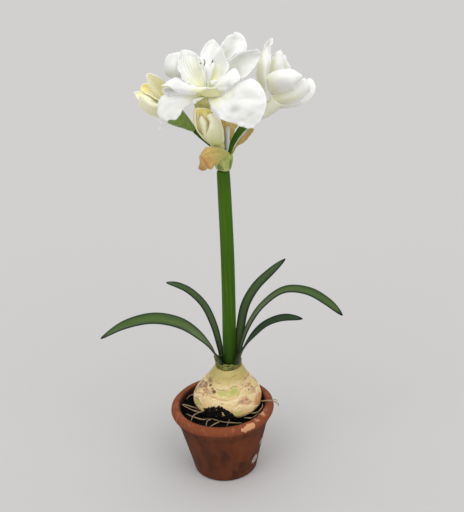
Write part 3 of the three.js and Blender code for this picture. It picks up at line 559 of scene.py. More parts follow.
# Torn edges of scales: (angle, height) points, how far the scale stands proud, and
# whether it is the scale below the edge (1) or the one above it (-1) that does
TEARS = [
    ([(-200, 112), (-189, 110), (-175, 112), (-159, 117), (-140, 119.5), (-124, 120), (-98, 118.5),
      (-86, 119), (-74, 119.5), (-66, 123), (-59, 127.5), (-49, 128.5), (-35, 126), (-20, 119),
      (0, 115), (40, 117), (90, 121), (130, 116), (160, 112)], 1.9, 1),
    ([(-126, 127), (-118, 129.3), (-106, 129.5), (-93, 129.8), (-86, 131), (-76, 132.2),
      (-62, 131)], 1.0, -1),
    ([(-83, 103), (-80, 110), (-72, 113), (-60, 112), (-50, 109), (-38, 104), (-25, 98),
      (-5, 95), (20, 96)], 1.0, 1),
    ([(-176, 104), (-166, 110), (-154, 111.5), (-143, 109.5), (-138, 104)], 0.9, -1),
    ([(-62, 132), (-45, 133.5), (-30, 135.5), (-12, 133), (20, 129), (60, 132)], 1.1, 1),
    ([(-200, 133), (-182, 131), (-165, 134), (-152, 137.5), (-140, 139)], 1.2, 1),
    ([(-112, 141), (-98, 143), (-90, 140.5), (-78, 142.5), (-58, 143.5)], 0.45, -1),
    ([(70, 108), (100, 111), (140, 106), (160, 104)], 1.0, 1),
    ([(-198, 121), (-186, 119.5), (-174, 122), (-160, 121)], 1.0, 1),
    ([(-198, 127.5), (-182, 126), (-166, 128.5), (-154, 127)], 1.1, 1),
    ([(-148, 126), (-140, 124), (-130, 125.5), (-122, 123.5)], 0.6, 1),
    ([(-48, 120), (-38, 118), (-26, 115.5), (-15, 117)], 0.6, 1),
    ([(-140, 134), (-128, 136), (-118, 134.5), (-108, 136.5)], 0.5, 1),
    ([(-75, 137), (-60, 138.5), (-48, 136.5), (-38, 138)], 0.5, 1),
]
# Hollows where a scale came away: angle, height, reach in degrees, reach in height,
# depth, how green and how brown its floor is
HOLLOWS = [
    (-76, 126, 13, 4, 0.8, 1.0, 0.1), (-103, 125.5, 14, 3, 0.7, 0.8, 0.1),
    (-155, 107.5, 11, 3.5, 0.6, 0.9, 0.15), (-75, 102, 9, 3, 0.3, 0.9, 0),
    (-125, 125.5, 6, 1.8, 1.4, 0, 1.0), (-132, 127.5, 6, 1.3, 0.6, 0, 0.7),
    (-143, 130, 4, 1.6, 1.0, 0, 1.0), (-154, 122, 2.5, 1.2, 0.8, 0, 0.9),
    (-176, 126, 3, 1.3, 0.6, 0, 0.9), (-39, 123.2, 2.5, 1, 0.7, 0, 0.9),
    (-53, 115, 2.5, 0.9, 0.7, 0, 0.9), (-30, 134.5, 3, 1.2, 0.5, 0, 0.8),
    (-46, 110.5, 4, 0.8, 0.4, 0, 0.6), (-101, 115.2, 2, 0.7, 0.4, 0, 0.7),
    (-152, 134, 12, 3, 0.3, 0, 0.6), (-160, 127, 10, 4, 0.3, 0, 0.5),
    (-178, 122, 9, 6, 0.5, 0, 0.6), (-187, 112, 8, 5, 0.5, 0, 0.5),
    (-135, 123, 9, 1.6, 0.3, 0, 0.45), (-25, 120, 8, 3, 0.4, 0, 0.4),
    (-66, 115, 7, 1.8, 0.3, 0, 0.45), (-50, 131, 7, 1.2, 0.3, 0, 0.35),
    (-84, 105, 2, 4, 0.5, 0, 0.3), (-180, 104, 8, 3, 0.3, 0, 0.35),
]


def bulb_radius(z):
    """The radius of the smooth bulb at a height."""
    return between(BULB_PROFILE, z)


def bulb_axis(z):
    """The x of the bulb's middle, which leans toward the neck above a height of 100."""
    return mix(BULB_X, NECK[0], max(0, min(1, (z - 100) / (NECK_TOP - 100))) ** 2)


def skin_detail(angle, z):
    """How far the skin stands out here, and its marks: brown edge with painted shade beside
    it, green, brown, and a pale rim that is a painted highlight.
    """
    out, edge, green, brown, rim = 0.0, 0.0, 0.0, 0.0, 0.0
    way = Vector((math.cos(math.radians(angle)) * 5, math.sin(math.radians(angle)) * 5, 0))
    ragged = 1.1 * noise.noise(way * 1.1) + 0.6 * noise.noise(way * 3)
    for points, proud, side in TEARS:
        first, last = points[0][0], points[-1][0]
        if not first < angle < last:
            continue
        there = 1.0 if last - first > 350 else ramp(min(angle - first, last - angle), 0, 7)
        inside = (between(points, angle) + ragged - z) * side
        out += proud * there * ramp(inside, -0.25, 0.45) * math.exp(-max(inside, 0) / 12)
        start = next(z for (_, z), (a, _) in zip(points, points[1:]) if angle <= a)
        faint = 0.55 + 0.45 * noise.noise(way * 0.8 + Vector((0, 0, start)))
        # the edge mark: the dried brown edge, with painted shade in the gap beside the proud scale
        edge = max(edge, there * faint * math.exp(-(((inside + 0.35) / 0.5) ** 2)))
        # the pale rim on the proud side of a torn edge is a painted highlight
        rim = max(rim, there * ramp(inside, 0, 0.5) * math.exp(-max(inside, 0) / 3.5))
    for a, h, wide, high, depth, fresh, brown_floor in HOLLOWS:
        d = ((angle - a) / wide) ** 2 + ((z - h - 0.6 * ragged) / high) ** 2
        if d < 4:
            soft = math.exp(-(d**2))
            out -= depth * soft
            green, brown = max(green, fresh * soft), max(brown, brown_floor * soft)
    return out, (edge, green, brown, rim * (1 - brown))


heights = [mix(BULB_FOOT, NECK_TOP, i / BULB_RINGS) for i in range(BULB_RINGS + 1)]
hollow_neck = [(16, 149), (15, 148), (14.5, 146), (2, 145)]
bulb = spun([(bulb_radius(z), z) for z in heights] + hollow_neck, steps=300)
bmesh.ops.recalc_face_normals(bulb, faces=bulb.faces)
marks = bulb.verts.layers.float_color.new("marks")
for v in bulb.verts:
    z, r = v.co.z / MM, v.co.xy.length / MM
    angle = math.atan2(v.co.y, v.co.x)
    on_skin = r > 16.2 or z < 100
    if on_skin:
        degrees = (math.degrees(angle) + 200) % 360 - 200
        out, v[marks] = skin_detail(degrees, z)
        lumps = 0.35 * math.sin(3 * angle + 0.05 * z) + noise.noise(v.co * 45)
        r += out - 0.7 + lumps + 0.12 * noise.noise(v.co * 400)
    v.co.x = (bulb_axis(z) + r * math.cos(angle)) * MM
    v.co.y = r * math.sin(angle) * MM

# %% [markdown]
# ## Bulb scales
# The skin is a satin, waxy cream. Its torn edges dry to pinkish brown, darkened beside
# the proud scale with painted shade, and a pale painted highlight runs along each proud
# edge. Green shows where a scale was fresh until lately, and small dark pits are old
# wounds. Fine lines run from foot to neck along each scale.

# %% Bulb material
SCORCHES = [((-26, -13, 123), 15, 0.5), ((-13, -8, 139), 9, 0.5), ((31, -9, 136), 10, 0.5),
            ((36, -16, 128), 8, 0.5)]
bulb_skin, tree, shader = surface("bulb_scale_waxy", Roughness=0.5, Subsurface_Weight=0.1,
                                  Subsurface_Scale=2 * MM)
spot = add(tree, "TexCoord").outputs["Object"]
edges, fresh, brown, pale = marks_of(tree)
wrinkles = spots(tree, spot, 5, 0.4, 0.65, stretch=(1, 1, 2.2), detail=5)
veins = spots(tree, spot, 1.5, 0.42, 0.66, stretch=(1, 1, 0.12))
paint(
    tree, shader, "#e8d29c",
    (spots(tree, spot, 15, 0.45, 0.65, detail=5), "#dfc088"),
    (spots(tree, spot, 7, 0.52, 0.68, detail=6), "#cfa572", 0.6),
    (spots(tree, spot, 18, 0.55, 0.7, detail=4), "#cdc680", 0.45),
    (wrinkles, "#b98e58", 0.3),
    (near(tree, spot, ((47, -16, 99), 15, 0.5)), "#c48455"),
    (near(tree, spot, ((30, -33, 114), 7, 0.5)), "#c99a7c"),
    (near(tree, spot, *SCORCHES), "#a8713f", spots(tree, spot, 4, 0.47, 0.6, detail=5)),
    # painted highlight along the proud torn edges
    (pale, "#f0dfb6", 0.8),
    (band(tree, spot, 129, 140, most=0.85), "#b0a558"),
    (veins, "#cda468", 0.35),
    (fresh, "#b7b85e"),
    # dried brown torn edges, with painted shade in the gap beside them
    (edges, "#9a6038"),
    # darker brown on the floors of the hollows
    (brown, "#54301c"),
    (spots(tree, spot, 2.2, 0.7, 0.74, detail=4), "#6b4229"),
    relief=[(wrinkles, 0.7, 0.6), (veins, 0.2, 0.6)],
)
piece(bulb, "bulb_body", bulb_skin, "bulb", smooth=0)

# %% [markdown]
# ## Soil on the bulb
# The clump that clings to the front of the bulb is made of the same crumbs, set on
# the bulb's own surface and thinning out upwards.

# %% Clinging soil
# how high the clump reaches at each angle
CLUMP = [(-138, 96), (-134, 105), (-125, 110), (-114, 111.5), (-104, 113), (-94, 109.5),
         (-86, 105.5), (-80, 99), (-72, 93)]


def on_bulb(way, z, proud):
    """A point on the bulb at an angle in radians and a height, proud of its skin."""
    r = bulb_radius(z) + proud
    return bulb_axis(z) + r * math.cos(way), r * math.sin(way), z


CLUMP_CRUMBS, SIDE_CRUMBS = 520, 90
clinging = []
for angle in [random.uniform(-138, -72) for _ in range(CLUMP_CRUMBS)]:
    top = between(CLUMP, angle)
    z = random.uniform(SOIL_LEVEL, top)
    size = random.choice((1.0, 1.4, 1.9, 2.4)) * (0.6 if top - z < 2 else 1)
    clinging.append((on_bulb(math.radians(angle), z, 0.2 * size), size))
for _ in range(SIDE_CRUMBS):
    way = math.radians(random.gauss(178, 12))
    z, size = random.uniform(88, 104), random.uniform(0.5, 1)
    clinging.append((on_bulb(way, z, 0.3 * size), size))
gather(crumbs, clinging)
piece(crumbs, "soil_crumbs", peat, smooth=0)

# %% [markdown]
# ## Dry roots
# Thin, tough roots spring from the foot of the bulb, wander over the soil and, at
# one place, over the rim. Each is a circle extruded along a path, with a little
# unevenness in its thickness.

# %% Roots
ROOTS = [
    [(-20, -12, 88), (-39, -3, 91), (-48, 2, 91.5), (-51.5, 6, 89)],
    [(-18, -16, 91), (-31, -17, 92.5), (-40, -9, 91), (-50, 3, 90), (-51, 8, 87)],
    [(-12, -26, 90), (-23, -34, 91.5), (-37, -25, 90.5), (-46, -15, 89)],
    [(-16, -24, 93), (-26, -22, 95), (-36, -25, 92.5), (-40, -32, 88)],
    [(-22, -22, 95), (-14, -35, 94), (-2, -41, 92), (10, -44, 91.5), (24, -44, 90)],
    [(-14, -36, 93), (-19, -38, 92), (-21, -45, 89)],
    [(10, -38, 99), (8, -42, 96), (7, -43, 91), (4, -46, 88)],
    [(-2, -41, 93), (-10, -44, 91), (-18, -47, 88)],
    [(33, -26, 92), (43, -24, 91), (50, -14, 92), (50.5, -2, 90)],
    [(26, -34, 91), (36, -34, 90), (43, -26, 89.5), (47, -20, 87)],
    [(42, -4, 97), (50, -8, 97), (58, -8.5, 97.5), (66, -11, 96.8), (70.5, -8, 91), (70, -6, 87)],
    [(60, -9, 97.4), (66, -5, 96.2), (70, -2, 92)],
    [(36, 18, 90), (46, 15, 90), (49, 6, 88)],
    [(20, 38, 90), (30, 41, 90), (40, 33, 88)],
    [(-5, 40, 90), (-18, 42, 91), (-30, 40, 89), (-37, 33, 87)],
    [(-28, 22, 90), (-40, 24, 91), (-46, 17, 89)],
]
random.seed(5)
bm = bmesh.new()
for path in ROOTS:
    thick = random.uniform(0.65, 1.0)
    stalk(bm, path, (thick, thick * 0.95, thick * 0.8, thick * 0.45), sides=8, steps=5, bumps=0.5)

dry_root, tree, shader = surface("dry_root_bark", Roughness=0.75)
spot = add(tree, "TexCoord").outputs["Object"]
paint(
    tree, shader, "#99835f",
    (spots(tree, spot, 6, 0.45, 0.65, detail=4), "#6f5940"),
    (spots(tree, spot, 3, 0.6, 0.7), "#bda780"),
)
piece(bm, "roots", dry_root)

# %% [markdown]
# ## Leaf green
# Strap leaves and the flower stem share one living surface: a smooth, waxy skin over
# deep green flesh, with fine veins that run the whole length. The leaves are darkest at
# their dead tips and have a pale midrib. Painted shade darkens their edges, their feet
# and the leaves that stand in shade; a pale band across each arch is a painted highlight,
# and a brighter green on the outer half is painted light. The stem is lighter and
# yellower, with a faint bloom, and painted shade darkens it at its foot and under the
# flower head.

# %% Leaf material
strap_leaf, tree, shader = surface("strap_leaf_satin", Roughness=0.45, Specular_IOR_Level=0.15)
uv = add(tree, "UVMap")
painted_shade, pale, dead, fresh = marks_of(tree)
veins = spots(tree, uv, 1.1, 0.35, 0.65, stretch=(1, 0.02, 1), detail=2)
paint(
    tree, shader, "#475b2b",
    (spots(tree, uv, 14, 0.4, 0.65, stretch=(1, 0.3, 1), detail=4), "#344926"),
    (veins, "#637a4c", 0.3),
    # a pale midrib, and a painted highlight band across the arch
    (pale, "#7d8c60"),
    # painted light: a brighter green on the outer half
    (fresh, "#49691f"),
    # painted shade on the edges, the foot and shaded leaves
    (painted_shade, "#1d3020"),
    (dead, "#151c14"),
    relief=[(veins, 0.12, 0.5)],
)

# %% Stem material
stem_skin, tree, shader = surface("flower_stem_waxy", Roughness=0.5, Specular_IOR_Level=0.12)
spot = add(tree, "TexCoord").outputs["Object"]
streaks = spots(tree, spot, 2.5, 0.35, 0.65, stretch=(1, 1, 0.03))
paint(
    tree, shader, "#3c6009",
    (spots(tree, spot, 25, 0.4, 0.65, stretch=(1, 1, 0.25), detail=4), "#32540a"),
    (streaks, "#4e7616", 0.4),
    # painted shade: darker at the foot among the leaves and towards the flower head
    (band(tree, spot, 220, 150, most=0.75), "#1e330c"),
    (band(tree, spot, 385, 415, most=0.3), "#26400f"),
    relief=[(streaks, 0.15, 0.5)],
)

# %% [markdown]
# ## Flower stem
# The scape is one thick stalk. It stands in the neck of the bulb and leans a little
# before it straightens.

# %% Scape
SCAPE_PATH = [
    (13.3, 0, 136.3), (13.5, 0, 180), (15, 0, 220), (17.2, 0, 300), (17.8, 0, 380), (17.8, 0, 409),
]
bm = bmesh.new()
stalk(bm, SCAPE_PATH, [8.5, 8.4, 8.3, 8.2, 7.9, 7.5], sides=32)
piece(bm, "flower_stem", stem_skin, "scape")

# %% [markdown]
# ## Strap leaves
# Five leaves rise from the neck, arch over and end in a drooping point. Each is one
# grid on a midrib, with a shallow channel down its middle.

# %% Leaves
LEAF_FOOT = 136.8


def leaf_marks(painted_shade, fresh):
    """Painted shade on the edges and foot and over a shaded leaf, a pale midrib, a painted
    highlight band, a dead tip, and painted light as a brighter green on the outer half.
    """

    def tint(s, t):
        # edge is painted shade, pale is the midrib plus a painted highlight band, green is painted
        # light
        edge = 0.85 * ramp(abs(s), 0.4, 1.0) + painted_shade + 0.3 * ramp(t, 0.3, 0.08)
        pale = 0.45 * math.exp(-((s / 0.2) ** 2)) * (1 - t)
        pale += 0.5 * math.exp(-(((t - 0.4) / 0.15) ** 2))
        green = fresh * math.exp(-(((t - 0.78) / 0.2) ** 2)) * (1 - 0.6 * abs(s))
        return min(edge, 1), pale * (1 - 0.8 * painted_shade), ramp(t, 0.95, 0.985), green

    return tint


# tint: leaf_marks(painted shade over the whole leaf, painted light on its outer half)
LEAVES = {
    "leaf_left_low": dict(
        rib=[(3, -8, LEAF_FOOT), (-0.5, -9, 157), (-6.5, -12, 174), (-22.5, -17, 200),
             (-44, -19.5, 220), (-74, -18, 228), (-110, -9, 217), (-144.5, 4, 193)],
        width=20, face=(0.75, 0.65, 0), face_tip=(0, -0.3, 1), tint=leaf_marks(0.1, 0.6)),
    "leaf_left_high": dict(
        rib=[(5, 8, LEAF_FOOT), (3, 9, 149), (1, 13, 166), (-5, 24, 192),
             (-16, 39, 213), (-33, 53, 226), (-49, 66, 229), (-63, 79, 227)],
        width=10.5, face=(0.75, -0.65, 0), face_tip=(0.2, -0.5, 1), tint=leaf_marks(0.35, 0.1)),
    "leaf_right_tall": dict(
        rib=[(18.8, 10.3, LEAF_FOOT), (20, 10, 149), (24, 11, 163), (28, 15, 188),
             (36, 24, 218), (50, 36, 236), (68, 48, 248), (89, 62, 260)],
        width=13, face=(-0.5, -0.9, 0), face_tip=(-0.3, -0.6, 0.8), tint=leaf_marks(0.35, 0.2)),
    "leaf_right_long": dict(
        rib=[(25, 0, LEAF_FOOT), (25.3, 0, 152), (28, 0, 172), (40, 0, 204), (58, -2, 231),
             (84, -7, 251.5), (110.5, -15, 252), (132, -24, 241.5), (150, -33, 227.5)],
        width=17, face=(-1, 0, 0), face_tip=(0, -0.1, 1), belly=0.65,
        tint=leaf_marks(0.15, 0.45)),
    "leaf_right_low": dict(
        rib=[(18.8, -10.3, LEAF_FOOT), (21, -11.5, 155), (28, -14, 174), (41, -19, 196),
             (59, -24, 216), (79, -31, 227), (102, -38, 229)],
        width=15, face=(-0.5, 0.9, 0), face_tip=(0, -0.2, 1), tint=leaf_marks(0.75, 0.0)),
}
for name, leaf in LEAVES.items():
    bm = bmesh.new()
    blade(bm, **{"belly": 0.6, **leaf}, base=0.5, tip=2.4, cup=0.25, keel=0.05, rows=60)
    piece(bm, name + "_blade", strap_leaf, name, thick=1.6)

# %% [markdown]
# ## Torn leaf bases
# Round the neck stand the stubs of last year's leaves, torn off short. They are low
# blades set in two rings, each bent round the neck.

# %% Neck stubs
STUB_FOOT = NECK_TOP - 0.6
# angle, distance from the middle, height, width, outward lean, how pale, how brown
STUBS = [
    (-92, 15.6, 4, 20, 0, 0.3, 0), (-135, 15.7, 5, 18, 0.3, 0.3, 0.1),
    (-50, 15.6, 4.5, 17, 0.2, 0.4, 0.2), (-12, 15.8, 7.5, 16, 0.8, 0.7, 0.1),
    (30, 15.7, 7, 18, 0.5, 0.5, 0.1), (85, 15.7, 7, 20, 0.4, 0.4, 0.1),
    (135, 15.7, 7, 18, 0.5, 0.4, 0.2), (180, 15.9, 11.5, 9, 1.8, 0.3, 0.9),
    (-160, 15.8, 7.5, 12, 0.8, 0.5, 0.5), (-118, 14.3, 6.5, 15, -0.3, 0.2, 0),
    (-68, 14.3, 5.5, 15, -0.4, 0.2, 0), (-30, 14.5, 8, 14, 0.2, 0.9, 0),
    (60, 14.4, 8, 16, 0, 0.3, 0.1), (110, 14.4, 8, 16, 0, 0.3, 0.1),
    (160, 14.4, 8, 14, 0, 0.3, 0.2),
]
# foot, rise, lean, width and brownness of the loose flaps in front
FLAPS = [((6.6, -15.4, NECK_TOP), 5.5, 0.5, 8, 0), ((21.2, -12.4, NECK_TOP), 3, 0.8, 9, 0.8),
         ((-3.4, -8.4, NECK_TOP), 4, 0.8, 6, 0.5)]
bm = bmesh.new()
for turn, reach, tall, wide, lean, pale, brown in STUBS:
    out = Vector((math.cos(math.radians(turn)), math.sin(math.radians(turn)), 0))
    foot = Vector((*NECK, STUB_FOOT)) + out * reach
    rib = [foot, foot + Vector((0, 0, tall * 0.6)) + out * lean * 0.2,
           foot + Vector((0, 0, tall + 1.7)) + out * lean]
    blade(bm, rib, wide, -out, base=0.97, belly=0.5, tip=4, cup=0.5, wave=0.07, waves=1.7,
          phase=turn, rows=12, cols=16,
          tint=lambda s, t: (ramp(t, 0.8, 1), pale, brown * ramp(t + 0.2 * s, 0.4, 1)))
for v in bm.verts:
    v.co.z += 1.6 * MM * noise.noise(v.co * 260) * ramp(v.co.z / MM, 150, 153)
for foot, rise, lean, wide, brown in FLAPS:
    foot = Vector(foot)
    out = (foot - Vector((*NECK, NECK_TOP))).normalized()
    blade(bm, [foot, foot + out * lean + Vector((0, 0, rise * 0.5)), foot + Vector((0.3, 0, rise))],
          wide, -out, base=1, belly=0.1, tip=1, cup=0.2, rows=10, cols=8,
          tint=lambda s, t: (0.4 * (1 - brown), 1, brown))
old_sheath, tree, shader = surface("old_sheath_dry", Roughness=0.6, Specular_IOR_Level=0.2)
uv = add(tree, "UVMap")
torn, pale, brown, _ = marks_of(tree)
veins = spots(tree, uv, 1.0, 0.35, 0.65, stretch=(1, 0.05, 1), detail=2)
paint(
    tree, shader, "#57571d",
    (veins, "#62662a"),
    (spots(tree, uv, 6, 0.5, 0.62, detail=4), "#424d18"),
    (pale, "#8f8a50", 0.5),
    (torn, "#8c8c48"),
    (brown, "#8b6644"),
)
piece(bm, "neck_stubs", old_sheath, "neck_sheath", thick=0.8)

# %% [markdown]
# ## Head of the stem
# The stem swells into a creased collar, and four short stalks rise from it to the
# flowers. Collar and stalks are living green like the stem, paler in the collar, which
# carries painted shade in streaks and on its front left side.

# %% Collar
# height, how far to the right its middle is, and radius
COLLAR = [(409.3, 17.8, 8), (412, 18.3, 9.2), (417, 19.6, 9.5), (422.5, 21.2, 8.9),
          (426, 22.1, 8), (427.6, 22.4, 5.5)]
bm = bmesh.new()
collar_path = [(x, 0, z) for z, x, _ in COLLAR]
collar_line = curve(collar_path)
stalk(bm, collar_path, [r for *_, r in COLLAR], sides=48, steps=5)
for v in bm.verts:
    z = v.co.z / MM
    share = (z - COLLAR[0][0]) / 17.7  # about how far up the collar it is
    middle = Vector((collar_line(share).x, 0))
    arm = v.co.xy / MM - middle
    angle = math.atan2(arm.y, arm.x)
    crease = 0.5 * math.sin(7 * angle + 0.12 * z) + 0.3 * math.sin(12 * angle - 0.1 * z)
    crease += 1.2 * noise.noise(v.co * 90)
    v.co.xy = (middle + arm * (1 + 0.1 * crease * ramp(z, 408, 413))) * MM
collar_skin, tree, shader = surface("collar_creased", Roughness=0.5)
spot = add(tree, "TexCoord").outputs["Object"]
streaks = spots(tree, spot, 1.8, 0.4, 0.62, stretch=(1, 1, 0.12))
paint(
    tree, shader, "#adb765",
    (spots(tree, spot, 7, 0.45, 0.65, detail=4), "#c2c474"),
    (streaks, "#87974a", 0.4),
    # painted shade: dark streaks for the creases and a dark patch on the front left
    (spots(tree, spot, 5, 0.5, 0.6, stretch=(1, 1, 0.3)), "#5a6e34", 0.8),
    (near(tree, spot, ((12, -6, 425), 6, 0.5)), "#6f843c"),
    (band(tree, spot, 412.5, 409.5, most=0.7), "#c9cf86"),
    relief=[(streaks, 0.3, 0.4)],
)
piece(bm, "stem_collar", collar_skin, "spathe_collar")

# %% Flower stalks
STAND = 427.3
PEDICELS = {
    "pedicel_front": dict(
        path=[(21.5, 4, STAND), (21.5, 4, 430), (17, 3.5, 439), (11, 0, 451), (5, -6, 461)],
        radii=(2.2, 2.2, 2.6, 3.2, 3.8)),
    "pedicel_right": dict(
        path=[(26.6, 1.5, STAND), (26.7, 1.5, 430), (31, 3, 440), (41, 3, 455), (53, 4, 464),
              (64, 5, 468.4)],
        radii=(2.1, 2.2, 3.2, 4.2, 4, 3.6)),
    "pedicel_left": dict(
        path=[(17.6, -0.6, STAND), (17.4, -0.7, 430), (9, -5.5, 438.5), (-1.6, -10, 450),
              (-11.9, -13, 463)],
        radii=(2, 2, 2.1, 2.2, 2.8)),
    "pedicel_bud": dict(
        path=[(20.8, -4.8, STAND), (20.8, -5, 430), (18, -10, 436)], radii=(2.1, 2.2, 3)),
}
for name, pedicel in PEDICELS.items():
    bm = bmesh.new()
    stalk(bm, **pedicel, sides=16, steps=5)
    piece(bm, name + "_skin", stem_skin, name)

# %% [markdown]
# ## Dry bracts
# The sheath that wrapped the young buds has split into papery bracts: tan, wrinkled
# and veined lengthwise, still greenish near the collar.

# %% Bracts
BRACTS = {
    "front": [
        26,-9,431.5, 26,-12,431, 24,-11,428.5,  19,-25,443, 18.5,-29,439, 17,-24,430,
        9.5,-36,450.5, 10,-39,443.5, 10.5,-33,427.5,  1,-39,452.5, 2,-41,442.5, 5.5,-37,425,
        -6,-38,445.5, -5.5,-40,437, -1,-38,424.5,
    ],
    "corner": [
        -6.5,-40,444.5, -2.5,-43,436.5, 1.5,-41,428,  -7,-41,441, -5,-45,434.5, -1.5,-42,426,
        -6.5,-40,434.5, -7,-43,430.5, -5,-41,425,  -9,-39,428, -9.5,-39,427, -8,-40,426,
    ],
    "back": [
        21,8,427.5, 23,9,426, 25.5,8,427,  18,12,440, 23.5,14,439, 29,11,439,
        16.5,17,452.5, 24.5,20,451, 33.5,16,446.5,  17,22,464, 26.5,26,459.5, 37.5,22,455,
    ],
    "right": [
        26,6,426, 27.5,5,424, 29,5,423,  32.5,9,433, 33.5,8,432.5, 34.5,8,431.5,
        39,10,444, 41.5,9,441, 42,10,436,  44.5,12,450, 47.5,10,446.5, 48.5,12,441,
        50.5,13,453.5, 52.5,12,451, 54,13,447,  53.5,14,451.5, 55,14,450.5, 55,14,449.5,
    ],
    "membrane": [
        21.5,-2,431, 22.5,-2.5,430, 24,-2,429.5,  21,-8,445, 24,-9,445, 27,-8,445,
        22.5,-9,455, 25,-10,455.5, 27.5,-9,455,  24,-7,463, 26.5,-7,463, 28.5,-7,463.5,
    ],
}
BRACT_PATCHES = {
    "front": [(0, 0, 0.0, 2, 0.42, 1.0), (1, 0.5, 0.95, 0.7, 0.35, 0.9),
              (3, -1, 0.6, 0.12, 0.5, 0.5)],
    "corner": [(2, 0, 0.5, 3, 2, 0.5), (1, 0, 0.5, 3, 2, 0.6), (3, 0, 1, 2, 0.1, 0.4)],
    "back": [(2, 0, 0.4, 3, 0.5, 0.8), (0, 0.9, 0.5, 0.35, 0.6, 0.5)],
    "right": [(0, 0, 0, 2, 0.2, 0.7), (2, 0.3, 0.7, 0.9, 0.5, 0.6), (3, -1, 0.6, 0.45, 0.25, 1.2)],
    # the membrane's mark 0 is painted shade along its left edge
    "membrane": [(0, -1, 0.4, 0.9, 0.35, 1.0), (1, 0.3, 1.0, 3, 0.25, 0.6)],
}
papery, tree, shader = surface("bract_papery", Roughness=0.65)
uv = add(tree, "UVMap")
greenish, pinkish, brown, pale_edge_and_highlight = marks_of(tree)
veins = spots(tree, uv, 2.2, 0.48, 0.62, stretch=(1, 0.04, 1), detail=2)
paint(
    tree, shader, "#d6bd70",
    (spots(tree, uv, 8, 0.45, 0.65, detail=4), "#c9aa5c"),
    (pinkish, "#d9a468"),
    # browner patches, and painted shade in the folds
    (brown, "#9a7440"),
    (greenish, "#b9bd5e"),
    (veins, "#94783c", 0.3),
    (pale_edge_and_highlight, "#f4f1e6"),
    relief=[(veins, 0.3, 0.6)],
)

membrane, tree, shader = surface("membrane_thin", Roughness=0.4)
uv = add(tree, "UVMap")
painted_shade_edge, pinkish, *_ = marks_of(tree)
veins = spots(tree, uv, 1.0, 0.4, 0.6, stretch=(1, 0.03, 1), detail=3)
paint(
    tree, shader, "#dfe1e1",
    (veins, "#c4c8c8"),
    # painted shade along the left edge
    (painted_shade_edge, "#7c8280"),
    (pinkish, "#a9a6a4"),
)

for name in ("front", "back", "right"):
    bm = bmesh.new()
    petal(bm, BRACTS[name], BRACT_PATCHES[name], ruffle=1.0, ridges=0.22, grooves=3)
    if name == "front":
        petal(bm, BRACTS["corner"], BRACT_PATCHES["corner"], ruffle=0.5, ridges=0.1, rows=24)
    piece(bm, f"spathe_{name}_sheet", papery, "spathe_" + name, thick=0.7)
bm = bmesh.new()
petal(bm, BRACTS["membrane"], BRACT_PATCHES["membrane"], ruffle=0.2, ridges=0.15, cols=10)
piece(bm, "bracteole_sheet", membrane, "bracteole", thick=0.6)

# %% [markdown]
# ## Petals
# Amaryllis petals are thick and crystalline: tiny bright cells make them sparkle white
# without much gloss, and light soaks a little way in. A double flower has six outer
# tepals that spread and an inner cup of smaller ones. Green from the throat runs a
# little way up each petal, stronger on its back.

# %% Petal material
white_petal, tree, shader = surface(
    "petal_white_crystalline", Roughness=0.5, Subsurface_Weight=0.45,
    Subsurface_Radius=(1, 0.95, 0.9), Subsurface_Scale=3 * MM)
uv = add(tree, "UVMap")
green, cream_and_painted_shade, shaded, pale_edge_and_highlight = marks_of(tree)
veins = spots(tree, uv, 1.5, 0.35, 0.65, stretch=(1, 0.05, 1), detail=3)
paint(
    tree, shader, "#f3f2ef",
    (spots(tree, uv, 7, 0.45, 0.7, stretch=(1, 0.4, 1), detail=4), "#ebebe7"),
    (veins, "#d8dcd1", 0.12),
    (shaded, "#bfc2b5"),
    (green, "#e4e49e"),
    # a cream tint at the bases, and painted shade on flanks that turn from the light
    (cream_and_painted_shade, "#dbd9b4"),
    # painted highlight along the margins and tips
    (pale_edge_and_highlight, "#fafbfa"),
    relief=[(veins, 0.12, 0.3)],
)

bud_petal, tree, shader = surface(
    "petal_cream_bud", Roughness=0.5, Subsurface_Weight=0.4,
    Subsurface_Radius=(1, 0.9, 0.6), Subsurface_Scale=2.5 * MM)
uv = add(tree, "UVMap")
green, yellow, pale, pale_edge_and_highlight = marks_of(tree)
veins = spots(tree, uv, 1.6, 0.35, 0.65, stretch=(1, 0.04, 1), detail=3)
paint(
    tree, shader, "#fff9d8",
    (veins, "#f0e8b4", 0.25),
    (green, "#c3cb74"),
    (yellow, "#ffe668"),
    (pale, "#fdf9dc"),
    # painted highlight along the margins and tips
    (pale_edge_and_highlight, "#fffbe6"),
    relief=[(veins, 0.12, 0.3)],
)

# %% [markdown]
# ## Front flower
# The ovary and tube rise from the front stalk. Six outer tepals spread, two of them
# broad and hanging to the front, one rolled back on the left and three up behind.
# Inside stands the cup of inner petals, with small folds and a curled end.

